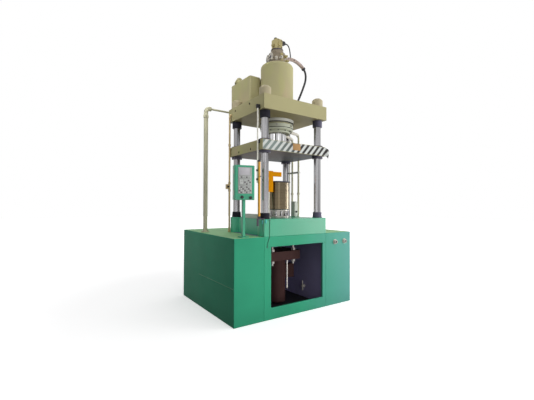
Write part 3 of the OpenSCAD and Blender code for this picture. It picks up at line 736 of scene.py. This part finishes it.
def dress_cylinder():
    """Screws under the gland, the dark grooves round it, and its plugs."""
    low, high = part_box("rod_gland")
    bm = bmesh.new()
    for rise, ring, count, size in GLAND_SCREWS:
        for at in around(on_axis(low.z + rise * MM), ring * MM, count):
            add_socket_screw(bm, at, size * MM, TO_FLOOR)
    piece(bm, "gland_screws", "black")
    bm = bmesh.new()
    for z, r in ((low.z + GROOVE_RISE, GROOVE_R), (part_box("lock_ring")[0].z + LOCK_RISE, LOCK_R)):
        add_turned(bm, [(r - 6, -5), (r + 0.5, -4), (r + 0.5, 4), (r - 6, 5)], on_axis(z), None, 96)
    piece(bm, "gland_grooves", "dark")
    bm = bmesh.new()
    for angle in GLAND_PLUG_ANGLES:
        at = on_axis(high.z - GLAND_PLUG_DROP) + GLAND_PLUG_R * outward(angle)
        add_turned(bm, GLAND_PLUG, at, Matrix.Rotation(angle, 3, "Z") @ TO_RIGHT, 6)
    piece(bm, "gland_plugs", "steel")


# Top valve: flange bolts, nipples, pilot fittings, brass block's fittings, knob and cable gland

VALVE_R = 108 * MM
FLANGE_TOP, FLANGE_RING = 34 * MM, 125 * MM
NIPPLE = [(0, 0), (24, 0), (24, 10), (19, 12), (19, 26), (23, 28), (23, 40), (15, 44), (13, 56), (0, 56)]
NIPPLE_END = [(0, 56), (11, 56), (11, 62), (0, 64)]
PILOT_ANGLES = (math.radians(150), math.radians(196))
PILOT_IN, PILOT_OUT, PILOT_HALF = 104 * MM, 150 * MM, 23 * MM
PILOT_LOW, PILOT_MID, PILOT_TOP = 50 * MM, 88 * MM, 126 * MM
PILOT_CAP = [(20, 0), (20, 14), (14, 16), (14, 30), (0, 32)]
PILOT_EYE = [(0, 0), (17, 0), (17, 3), (0, 4)]
RISER = [(0, 0), (22, 0), (22, 16), (15, 18), (15, 80), (20, 82), (20, 104), (10, 108), (0, 108)]
RISER_X, RISER_Y = 10 * MM, 122 * MM
NECK_BAND = [(84, 0), (88, 2), (88, 10), (84, 12)]
NECK_DROP = 14 * MM
FRONT_PLUG = [(0, 0), (30, 0), (30, 9), (24, 13), (0, 13)]
SIDE_PLUG = [(0, 0), (26, 0), (26, 12), (18, 15), (18, 26), (0, 26)]
SIDE_PLUG_DROP = 18 * MM
TOP_PLUG = [(0, 0), (20, 0), (20, 12), (12, 14), (12, 28), (0, 28)]
TOP_PLUG_X = 34 * MM
CABLE_GLAND = [(11, -3), (16, 0), (16, 14), (12, 18), (7, 20)]
BLOCK_SCREW_X, BLOCK_SCREW_Z = 30 * MM, 48 * MM
# In shares of the node's radius and height
VALVE_KNOB = [(0, 0), (0.8, 0), (0.8, 0.2), (1, 0.25), (1, 0.85), (0.85, 1), (0, 1)]


def dress_valve():
    low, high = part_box("filling_valve")
    block_low, block_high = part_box("valve_block")
    bm = bmesh.new()
    for at in around(on_axis(low.z + FLANGE_TOP), FLANGE_RING, 10):
        add_bolt(bm, at, 9 * MM)
    piece(bm, "valve_flange_bolts", "black")

    chrome, brass, dark = bmesh.new(), bmesh.new(), bmesh.new()
    for bm, angle, rise in ((chrome, math.pi * 1.06, 92), (chrome, math.pi * 1.28, 66), (brass, -0.5, 84),
                            (brass, -1.15, 110), (chrome, -1.75, 78)):
        turn = Matrix.Rotation(angle, 3, "Z") @ TO_RIGHT
        at = on_axis(low.z + rise * MM) + VALVE_R * outward(angle)
        add_turned(bm, NIPPLE, at, turn, 6)
        add_turned(bm, NIPPLE_END, at, turn, 20)
    for angle in PILOT_ANGLES:
        turn = Matrix.Rotation(angle, 3, "Z")
        out = outward(angle)
        add_block(chrome, (AXIS.x + PILOT_IN, AXIS.y - PILOT_HALF, low.z + PILOT_LOW),
                  (AXIS.x + PILOT_OUT, AXIS.y + PILOT_HALF, low.z + PILOT_TOP), 5 * MM, 0, turn, AXIS)
        add_turned(chrome, PILOT_CAP, on_axis(low.z + PILOT_TOP) + middle(PILOT_IN, PILOT_OUT) * out, None, 6)
        add_turned(dark, PILOT_EYE, on_axis(low.z + PILOT_MID) + PILOT_OUT * out, turn @ TO_RIGHT, 20)
    add_turned(brass, RISER, (AXIS.x - RISER_X, AXIS.y - RISER_Y, low.z + FLANGE_TOP), None, 6)
    add_turned(dark, NECK_BAND, on_axis(high.z - NECK_DROP), None, 64)

    mid_z = middle(block_low.z, block_high.z)
    add_turned(brass, FRONT_PLUG, (AXIS.x, block_low.y, mid_z), TO_FRONT, 6)
    add_turned(brass, SIDE_PLUG, (block_low.x, AXIS.y, mid_z - SIDE_PLUG_DROP), TO_LEFT, 6)
    for sx, sz in ((-1, -1), (1, -1), (-1, 1), (1, 1)):
        at = (AXIS.x + sx * BLOCK_SCREW_X, block_low.y, mid_z + sz * BLOCK_SCREW_Z)
        add_socket_screw(dark, at, 5.5 * MM, TO_FRONT)
    add_turned(brass, TOP_PLUG, (AXIS.x + TOP_PLUG_X, AXIS.y, block_high.z), None, 6)
    piece(chrome, "valve_nipples", "painted_reflection")
    piece(brass, "valve_fittings", "brass")
    piece(dark, "valve_screws", "black")

    turned_node("valve_knob", "valve_knob_turned", "plastic", VALVE_KNOB, 24)
    at = (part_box("valve_connector")[1].x, AXIS.y, CYLINDER_TOP + CABLE_ROUTE[0][1] * MM)
    turned_piece("connector_gland", "plastic", CABLE_GLAND, at, TO_RIGHT, 12)


# Hose: wrapped sleeve, its ferrule and end, and the union on the crown

FERRULE = [(26, 0), (26, 22), (30, 23), (30, 40), (27, 43), (25, 50), (20, 50)]
FERRULE_X = 100 * MM
SLEEVE_END = [(15, -30), (27, -30), (28, -26), (28, -4), (24, 0), (15.4, 2)]
WRAP_DIP = 0.93
# In shares of the node's radius and height
UNION = [(0, 0), (1, 0), (1, 0.3), (0.8, 0.34), (0.8, 0.42), (0.95, 0.45), (0.95, 0.78), (0.8, 0.84),
         (0.72, 1), (0.6, 1)]


def dress_hose():
    path = route(SLEEVE_ROUTE)
    bm = bmesh.new()
    add_tube(bm, smooth_path(path, 3), SLEEVE_D / 2, 20, wave=lambda i: 1.0 if i % 6 < 3 else WRAP_DIP)
    piece(bm, "hose_sleeve_wrap", "wrap", replaces=("hose_sleeve",))
    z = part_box("filling_valve")[0].z + SLEEVE_ROUTE[0][1] * MM
    turned_piece("sleeve_ferrule", "steel", FERRULE, (AXIS.x + FERRULE_X, AXIS.y, z), TO_RIGHT, 24)
    end, before = path[-1], path[-4]
    turn = (end - before).to_track_quat("Z", "Y").to_matrix()
    turned_piece("sleeve_end", "rubber", SLEEVE_END, end, turn, 24)
    turned_node("hose_union", "hose_union_hex", "steel", UNION, 6)


# Base, bed and what stands on them

SEAM_Z, SEAM_H, SEAM_OUT = 0.43, 7 * MM, 1.5 * MM
SEAM_INSET, SEAM_BACK = 20 * MM, 0.2
PANEL_PLUG = [(0, 0), (11, 0), (11, 3), (7, 4), (0, 4)]
PANEL_PLUG_IN, PANEL_PLUG_Z = 11 * MM, 0.877
COUPLING = [(0, 0), (35, 0), (35, 5), (33, 8), (26, 8), (26, 11), (23, 13), (25, 15), (25, 29), (23, 32),
            (17, 33), (16, 24), (0, 24)]
COUPLING_CORE = [(0, 24.5), (15, 24.5), (12, 30), (0, 31)]
COUPLING_SCREWS, COUPLING_RING, COUPLING_OUT = 4, 30 * MM, 6 * MM
BAY_WALL = 36 * MM
BAY_FITTING = [(0, 0), (24, 0), (24, 8), (16, 10), (16, 34), (0, 36)]
BAY_FITTING_Y, BAY_FITTING_Z = -0.39, 0.2
BAY_PIPE_X, BAY_PIPE_LOW, BAY_PIPE_HIGH, BAY_PIPE_R = -26 * MM, -60 * MM, 80 * MM, 8 * MM
RETURN_FLANGE_R, RETURN_FLANGE_T, RETURN_RING = 55 * MM, 14 * MM, 42 * MM
RETURN_NUT = [(29, 0), (40, 0), (40, 34), (35, 38), (29, 38)]
RETURN_NUT_DROP = 0.16
RETURN_WELD = [(29, 0), (33, 2), (33, 8), (29, 10)]
RETURN_WELD_RISE = 13 * MM


def dress_base():
    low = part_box("tank_left")[0]
    bm = bmesh.new()
    add_block(bm, (low.x - SEAM_OUT, low.y + SEAM_INSET, SEAM_Z),
              (low.x, SEAM_BACK, SEAM_Z + SEAM_H), 0.7 * MM)
    piece(bm, "tank_seam", "seam")
    low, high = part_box("front_panel")
    at = (high.x - PANEL_PLUG_IN, low.y, PANEL_PLUG_Z)
    turned_piece("panel_plug", "green", PANEL_PLUG, at, TO_FRONT, 20)

    low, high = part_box("front_couplings")
    radius, mid_z = (high.z - low.z) / 2, middle(low.z, high.z)
    steel, dark = bmesh.new(), bmesh.new()
    for x in (low.x + radius, high.x - radius):
        add_turned(steel, COUPLING, (x, high.y, mid_z), TO_FRONT, 40)
        add_turned(dark, COUPLING_CORE, (x, high.y, mid_z), TO_FRONT, 24)
        for spot in around((x, mid_z, 0), COUPLING_RING, COUPLING_SCREWS, 0.5):
            add_socket_screw(dark, (spot.x, high.y - COUPLING_OUT, spot.y), 3 * MM, TO_FRONT)
    piece(steel, "couplings_turned", "painted_reflection", replaces=("front_couplings",))
    piece(dark, "coupling_cores", "black")

    at = Vector((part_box("bay_walls")[1].x - BAY_WALL, BAY_FITTING_Y, BAY_FITTING_Z))
    bm = bmesh.new()
    add_turned(bm, BAY_FITTING, at, TO_LEFT, 24)
    add_tube(bm, [at + Vector((BAY_PIPE_X, 0, z)) for z in (BAY_PIPE_LOW, BAY_PIPE_HIGH)], BAY_PIPE_R, 16)
    piece(bm, "bay_fitting", "painted_reflection")

    low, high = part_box("return_pipe")
    x, y = low.x + RETURN_FLANGE_R, middle(low.y, high.y)
    bm = bmesh.new()
    for at in around((x, y, low.z + RETURN_FLANGE_T), RETURN_RING, 4, 0.5):
        add_bolt(bm, at, 6 * MM)
    piece(bm, "return_flange_bolts", "steel")
    bm = bmesh.new()
    add_turned(bm, RETURN_NUT, (x, y, high.z - RETURN_NUT_DROP), None, 6)
    add_turned(bm, RETURN_WELD, (x, y, low.z + RETURN_WELD_RISE), None, 40)
    piece(bm, "return_union", "pipe")


CLIP_T = 8 * MM


def add_edge_clips():
    """Two small clips at the bed's front left corner, one on its front and one on its left."""
    low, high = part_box("bed")
    bm = bmesh.new()
    add_block(bm, (low.x + 27 * MM, low.y - CLIP_T, high.z - 46 * MM),
              (low.x + 43 * MM, low.y, high.z - 8 * MM), 2 * MM)
    add_block(bm, (low.x - CLIP_T, low.y + 7 * MM, high.z - 54 * MM),
              (low.x, low.y + 23 * MM, high.z - 14 * MM), 2 * MM)
    piece(bm, "edge_clips", "clip")


DIE_FOOT, DIE_RIM = 10 * MM, 3 * MM
DIE_GROOVES = (0.2, 0.42, 0.62, 0.7, 0.92)
GROOVE_DEEP, GROOVE_HALF, GROOVE_FLOOR = 1.5 * MM, 3 * MM, 2 * MM
DIE_BOLTS, DIE_BOLT_RISE, DIE_BOLT_INSET = 14, 25 * MM, 13 * MM
DIE_BOLT = [(0, 0), (15, 0), (15, 4), (13, 4), (13, 22), (11, 25), (8, 25), (8, 60), (7, 62), (0, 62)]


def dress_die():
    low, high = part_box("die_body")
    radius, tall = (high.x - low.x) / 2, high.z - low.z
    profile = [(0, 0), (radius - DIE_FOOT, 0), (radius, DIE_FOOT)]
    for share in DIE_GROOVES:
        z, floor = tall * share, radius - GROOVE_DEEP
        profile += [(radius, z - GROOVE_HALF), (floor, z - GROOVE_FLOOR), (floor, z + GROOVE_FLOOR),
                    (radius, z + GROOVE_HALF)]
    profile += [(radius, tall - DIE_RIM), (radius - DIE_RIM, tall), (0, tall)]
    bm = bmesh.new()
    add_turned(bm, profile, on_axis(low.z), None, 128, 1, 1)
    piece(bm, "die_body_turned", "die", replaces=("die_body",))
    low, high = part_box("die_base")
    ring = (high.x - low.x) / 2 - DIE_BOLT_INSET
    bm = bmesh.new()
    for at in around(on_axis(low.z + DIE_BOLT_RISE), ring, DIE_BOLTS):
        add_turned(bm, DIE_BOLT, at, None, 16)
    piece(bm, "die_base_bolts", "chrome")


# Controls. Places on the pendant's face are shares of its width and height, from its lower left corner

PENDANT_W = 246 * MM
PENDANT_D = 100 * MM
PENDANT_TURN = math.radians(14)
PANEL = (0.17, 0.85, 0.18, 0.94)
SCREEN = (0.19, 0.74, 0.71, 0.925)
PANEL_T, SCREEN_T, KEY_T = 3 * MM, 4.5 * MM, 6.5 * MM
BIG_KEY_W, BIG_KEY_H, KEY_H = 0.08, 0.06, 0.034
KEY_ROWS = (  # rows, first place, step, width, count
    ((0.44, 0.49, 0.54), 0.47, 0.085, 0.065, 4),
    ((0.635,), 0.22, 0.085, 0.06, 7),
    ((0.2, 0.25, 0.3, 0.35), 0.2, 0.09, 0.07, 7),
)
KNOB = [(0, 0), (19, 0), (19, 6), (14, 7), (15, 24), (11, 27), (0, 27)]
KNOB_SPOTS = ((0.37, 0.08), (0.79, 0.065))
HINGE = [(0, -25), (6, -25), (6, 25), (0, 25)]
HINGE_OUT, HINGE_BACK = 3 * MM, 22 * MM


def dress_pendant():
    low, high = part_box("pendant_box")
    at, tall = centre("pendant_box"), high.z - low.z
    turn = Matrix.Rotation(-PENDANT_TURN, 3, "Z")
    facing = turn @ TO_FRONT
    axis = Vector((at.x, at.y, 0))

    def spot(x, z):
        """A point on the pendant's face."""
        return axis + turn @ Vector((PENDANT_W * (x - 0.5), -PENDANT_D / 2, low.z + tall * z))

    def on_face(bm, x0, x1, z0, z1, depth, bevel):
        """A raised block on the pendant's face."""
        left, right = (at.x + PENDANT_W * (x - 0.5) for x in (x0, x1))
        front = at.y - PENDANT_D / 2
        add_block(bm, (left, front - depth, low.z + tall * z0), (right, front + 1 * MM, low.z + tall * z1),
                  bevel, 0, turn, axis)

    for look, plate, thick in (("panel", PANEL, PANEL_T), ("screen", SCREEN, SCREEN_T)):
        bm = bmesh.new()
        on_face(bm, *plate, thick, 1 * MM)
        piece(bm, "pendant_" + look, look)
    keys, dark_keys, dark = bmesh.new(), bmesh.new(), bmesh.new()
    for z in (0.45, 0.52):
        for x in (0.25, 0.335):
            on_face(keys, x, x + BIG_KEY_W, z, z + BIG_KEY_H, KEY_T, 1.2 * MM)
    for rows, first, step, wide, columns in KEY_ROWS:
        for row, z in enumerate(rows):
            for column in range(columns):
                x = first + column * step
                bm = dark_keys if (row + column) % 3 == 1 else keys
                on_face(bm, x, x + wide, z, z + KEY_H, KEY_T, 1.2 * MM)
    piece(keys, "pendant_keys", "white")
    piece(dark_keys, "pendant_dark_keys", "key")
    for x, z in KNOB_SPOTS:
        add_turned(dark, KNOB, spot(x, z), facing, 28)
    piece(dark, "pendant_knobs", "plastic")
    bm = bmesh.new()
    for x in (0.06, 0.94):
        for z in (0.04, 0.96):
            add_socket_screw(bm, spot(x, z), 3.5 * MM, facing)
    for z in (0.2, 0.8):
        hinge = Vector((-PENDANT_W / 2 - HINGE_OUT, HINGE_BACK - PENDANT_D / 2, low.z + tall * z))
        add_turned(bm, HINGE, axis + turn @ hinge, None, 16)
    piece(bm, "pendant_screws", "steel")


CAP_GROW, CAP_LOW_H, CAP_TOP_H, CAP_OVER = 2 * MM, 26 * MM, 22 * MM, 2 * MM
LENS_END, LENS_SIDE = 0.04, 5 * MM
STUD = [(0, 0), (8, 0), (8, 4), (6, 6), (0, 6)]
STUD_IN, STUD_RISE = 5 * MM, 0.5
ROLLER = [(0, 0), (7, 0), (8, 2), (8, 6), (7, 8), (0, 8)]
ROLLER_INSET = 12 * MM
SWITCH_ROD_R, SWITCH_ROD_X, SWITCH_HEAD_H = 9 * MM, 18 * MM, 46 * MM
COVER_SIDE, COVER_END, COVER_T = 4 * MM, 6 * MM, 4 * MM
COVER_SCREW_X, COVER_SCREW_Z = 10 * MM, 14 * MM
BUTTON = [(0, 0), (15, 0), (15, 5), (11, 6), (11, 18), (0, 19)]
BUTTON_RISE = 70 * MM
LUBE_X = 50 * MM
LUBE_UNION = [(12, 0), (20, 0), (20, 28), (16, 32), (12, 32)]
LUBE_RISES = (0.0, 0.568, 0.668, 1.2)
LUBE_KNOB = [(0, 0), (14, 0), (14, 10), (10, 12), (0, 12)]
LUBE_KNOB_AT = Vector((-30 * MM, -20 * MM, 0.634))


def dress_controls():
    dress_pendant()
    low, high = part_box("light_curtain")
    bm = bmesh.new()
    for z0, z1 in ((low.z, low.z + CAP_LOW_H), (high.z - CAP_TOP_H, high.z + CAP_OVER)):
        add_block(bm, (low.x - CAP_GROW, low.y - CAP_GROW, z0),
                  (high.x + CAP_GROW, high.y + CAP_GROW, z1), 1 * MM)
    add_block(bm, (high.x - 1 * MM, low.y + LENS_SIDE, low.z + LENS_END),
              (high.x + 1 * MM, high.y - LENS_SIDE, high.z - LENS_END), 0.5 * MM)
    add_turned(bm, STUD, (high.x - STUD_IN, low.y, low.z + STUD_RISE), TO_FRONT, 16)
    piece(bm, "curtain_caps", "plastic")

    low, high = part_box("limit_switches")
    bm = bmesh.new()
    for z in (low.z + ROLLER_INSET, high.z - ROLLER_INSET):
        add_turned(bm, ROLLER, (middle(low.x, high.x), low.y, z), TO_FRONT, 24)
    piece(bm, "switch_rollers", "plastic")
    low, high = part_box("switch_rod")
    head = high.z - SWITCH_HEAD_H
    bm = bmesh.new()
    add_block(bm, (low.x, low.y, head), high, 2 * MM, 1)
    profile = [(0, low.z), (SWITCH_ROD_R - 1 * MM, low.z), (SWITCH_ROD_R, low.z + 1 * MM),
               (SWITCH_ROD_R, head + 1 * MM)]
    add_turned(bm, profile, (low.x + SWITCH_ROD_X, middle(low.y, high.y), 0), None, 24, 1, 1)
    piece(bm, "switch_rod_turned", "pale", more=("dark",), replaces=("switch_rod",))

    low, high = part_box("junction_box")
    front = low.y - COVER_T
    bm = bmesh.new()
    add_block(bm, (low.x + COVER_SIDE, front, low.z + COVER_END),
              (high.x - COVER_SIDE, low.y, high.z - COVER_END), 1.5 * MM)
    piece(bm, "junction_cover", "box")
    bm = bmesh.new()
    for x in (low.x + COVER_SCREW_X, high.x - COVER_SCREW_X):
        for z in (low.z + COVER_SCREW_Z, high.z - COVER_SCREW_Z):
            add_socket_screw(bm, (x, front, z), 3 * MM, TO_FRONT)
    add_turned(bm, BUTTON, (middle(low.x, high.x), front, low.z + BUTTON_RISE), TO_FRONT, 24)
    piece(bm, "junction_button", "plastic")

    low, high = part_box("lube_pipe")
    at = Vector((low.x + LUBE_X, middle(low.y, high.y), low.z))
    bm = bmesh.new()
    for rise in LUBE_RISES:
        add_turned(bm, LUBE_UNION, at + rise * UP, None, 6)
    piece(bm, "lube_unions", "lube")
    turned_piece("lube_valve_knob", "dark", LUBE_KNOB, at + LUBE_KNOB_AT, TO_FRONT, 20)


# Feed pipes: unions, clamp bolts, and the elbows that turn in to the gland

FEED_R = 14 * MM
FEED_OFFSETS = (22 * MM, 172 * MM)  # behind the clamp's front edge
FEED_DROPS = (22 * MM, 64 * MM)  # below the gland's top
FEED_LOW, FEED_HIGH = -0.33, 0.36  # from the clamp
FEED_UNION = [(1, 0), (1.6, 0), (1.6, 26), (1.3, 30), (1, 30)]  # widths in pipe radii
CLAMP_BOLT_FRONT, CLAMP_BOLT_BACK = 97 * MM, 50 * MM
ELBOW_R, ELBOW_BEND, ELBOW_NUT = 21 * MM, 60 * MM, 34 * MM
ELBOW_ANGLES = (0.2, 0.4, 0.6, 0.8)
ELBOW_SWELL = (1.15, 1.15, 1.0, 1.0, 1.0, 1.15, 1.15)


def dress_pipes():
    low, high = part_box("pipe_clamp")
    x, z = middle(low.x, high.x), middle(low.z, high.z)
    bm = bmesh.new()
    for offset in FEED_OFFSETS:
        for foot in (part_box("tank_right")[1].z, low.z + FEED_LOW, low.z + FEED_HIGH):
            add_turned(bm, FEED_UNION, (x, low.y + offset, foot), None, 6, FEED_R)
    piece(bm, "feed_unions", "pipe")
    bm = bmesh.new()
    for y in (low.y + CLAMP_BOLT_FRONT, high.y - CLAMP_BOLT_BACK):
        add_bolt(bm, (low.x, y, z), 7 * MM, TO_LEFT)
        add_bolt(bm, (high.x, y, z), 7 * MM, TO_RIGHT)
    piece(bm, "clamp_bolts", "steel")

    gland_low, gland_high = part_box("rod_gland")
    bm = bmesh.new()
    for offset, drop in zip(FEED_OFFSETS, FEED_DROPS):
        top = Vector((x, low.y + offset, gland_high.z - drop))
        inward = Vector((AXIS.x - top.x, AXIS.y - top.y, 0))
        reach = inward.length - (gland_high.x - gland_low.x) / 2
        inward.normalize()
        hub = top + ELBOW_BEND * (inward - UP)
        path = [top + inward * out for out in (reach - 1 * MM, reach - ELBOW_NUT, ELBOW_BEND)]
        path += [hub + ELBOW_BEND * (math.cos(a) * UP - math.sin(a) * inward) for a in ELBOW_ANGLES]
        add_tube(bm, path, ELBOW_R, 20, wave=lambda i: ELBOW_SWELL[i])
    piece(bm, "feed_elbows", "painted_reflection")


# Stage: pale floor, white backdrop, soft light from the front right

BRIGHT_SIDE = Vector((0.93, -0.33, 0.2)).normalized()
WORKSHOP = (  # from the dim side to the bright side: position, level
    (0.0, 0.15), (0.3, 0.19), (0.5, 0.37), (0.62, 0.66), (0.74, 0.7), (0.88, 0.95), (1.0, 1.1),
)
WORKSHOP_BLUE = 1.01
FLOOR_REACH = 30.0
FLOOR_SEEN = (0.8, 0.8, 0.8, 1.0)
FLOOR_UNSEEN = (0.14, 0.14, 0.14, 1.0)
FLOOR_FAR = (2.5, 8.0, 0.5, 1.0)  # two distances, their strengths
FLOOR_LIT = (-0.4, 5.0, 0.0, 1.15)  # the same for places in X


def add_world():
    """White where the background shows; as light, a workshop, bright at the front right, dim at the left."""
    world = bpy.data.worlds.new("studio")
    bpy.context.scene.world = world
    w = Nodes(world)
    way = w.add("TexCoord").outputs["Generated"]
    side = w.scaled(w.maths("VectorMath", "DOT_PRODUCT", way, BRIGHT_SIDE), -1.0, 1.0)
    light = w.ramp(side, *((at, (level, level, level * WORKSHOP_BLUE, 1)) for at, level in WORKSHOP))
    w.fill(w.nodes["Background"], Color=w.mix(w.background_share(), light, (1, 1, 1, 1)))


def add_floor():
    """Pale with the object's shadow where the background shows; as light, a dim floor, lit at the right."""
    bm = bmesh.new()
    bmesh.ops.create_grid(bm, x_segments=1, y_segments=1, size=FLOOR_REACH)
    s = Shader("pale_floor")
    seen = s.background_share()
    far = s.scaled(s.maths("VectorMath", "LENGTH", s.place), *FLOOR_FAR)
    lit = s.scaled(s.along("X"), *FLOOR_LIT, "SMOOTHSTEP")
    s.set(Base_Color=s.mix(seen, FLOOR_UNSEEN, FLOOR_SEEN), Roughness=0.9, Specular_IOR_Level=0.0,
          Emission_Color=(1, 1, 1, 1), Emission_Strength=s.mix(seen, lit, far, "FLOAT"))
    M["floor"] = s.material
    finish_mesh(bm, "floor", "floor")


def add_area(name, at, aim, wide, tall, power, spread=180, mirrored=False, only=(), tint=(1, 1, 1)):
    """A soft lamp; a mirrored one shows in polished metal, and one with a list lights those pieces alone."""
    data = bpy.data.lights.new(name, "AREA")
    data.shape = "RECTANGLE"
    data.size = wide
    data.size_y = tall
    data.energy = power
    data.color = tint
    data.spread = math.radians(spread)
    lamp = new_object(name, data)
    lamp.location = at
    lamp.rotation_euler = (Vector(aim) - Vector(at)).to_track_quat("-Z", "Y").to_euler()
    lamp.visible_glossy = mirrored
    if only:
        group = bpy.data.collections.new(name + "_lights")
        for piece_name in only:
            group.objects.link(bpy.data.objects[piece_name])
        lamp.light_linking.receiver_collection = group


def add_stage():
    """The floor, the world and the lamps: place, aim, width, height and power of each."""
    add_floor()
    add_world()
    add_area("key", (5.6, -5.0, 1.7), (0, -0.4, 1.2), 4.0, 4.0, 280)
    add_area("front", (0.2, -6.5, 0.8), (-0.2, -0.8, 0.6), 3.0, 1.4, 90)
    add_area("top", (-1.0, -2.5, 7.0), (0, 0, 1.5), 4.0, 4.0, 50)
    add_area("left_fill", (-3.2, -0.6, 4.0), (-0.5, 0.4, 2.95), 1.6, 1.6, 12, spread=70)
    add_area("low_fill", (-4.2, 0.3, 1.0), (-0.95, 0.25, 0.55), 1.2, 1.2, 0.7, spread=60)
    add_area("corner", (-3.6, -0.5, 2.0), (-0.55, -0.1, 1.1), 0.6, 0.9, 15, mirrored=True,
             only=("bed_skin",), tint=(0.9, 1.0, 1.1))
    add_area("window", (-1.4, -5.6, 2.0), (0.2, -0.6, 1.8), 0.7, 3.0, 10, mirrored=True)
    add_area("die_window", (2.3, -1.3, 1.5), (-0.04, -0.35, 1.45), 1.3, 0.7, 26, mirrored=True,
             only=("die_body_turned", "die_base_skin", "die_base_bolts"))
    for name, at in (("rod_left", (-3.7, -1.9, 2.9)), ("rod_right", (3.2, -2.8, 2.9))):
        add_area(name, at, on_axis(2.2), 0.25, 1.4, 5, mirrored=True, only=("piston_rod",))
    add_area("sheen", (4.5, -4.2, 1.3), (0, -0.8, 1.0), 3.0, 2.4, 60, mirrored=True,
             only=("bed_skin",), tint=(1.25, 0.9, 1.0))


add_camera()
dress_nodes()
add_cords()
dress_slide()
dress_cylinder()
dress_valve()
dress_hose()
dress_base()
add_edge_clips()
dress_die()
dress_controls()
dress_pipes()
add_stage()
bpy.context.scene.view_settings.view_transform = "Standard"
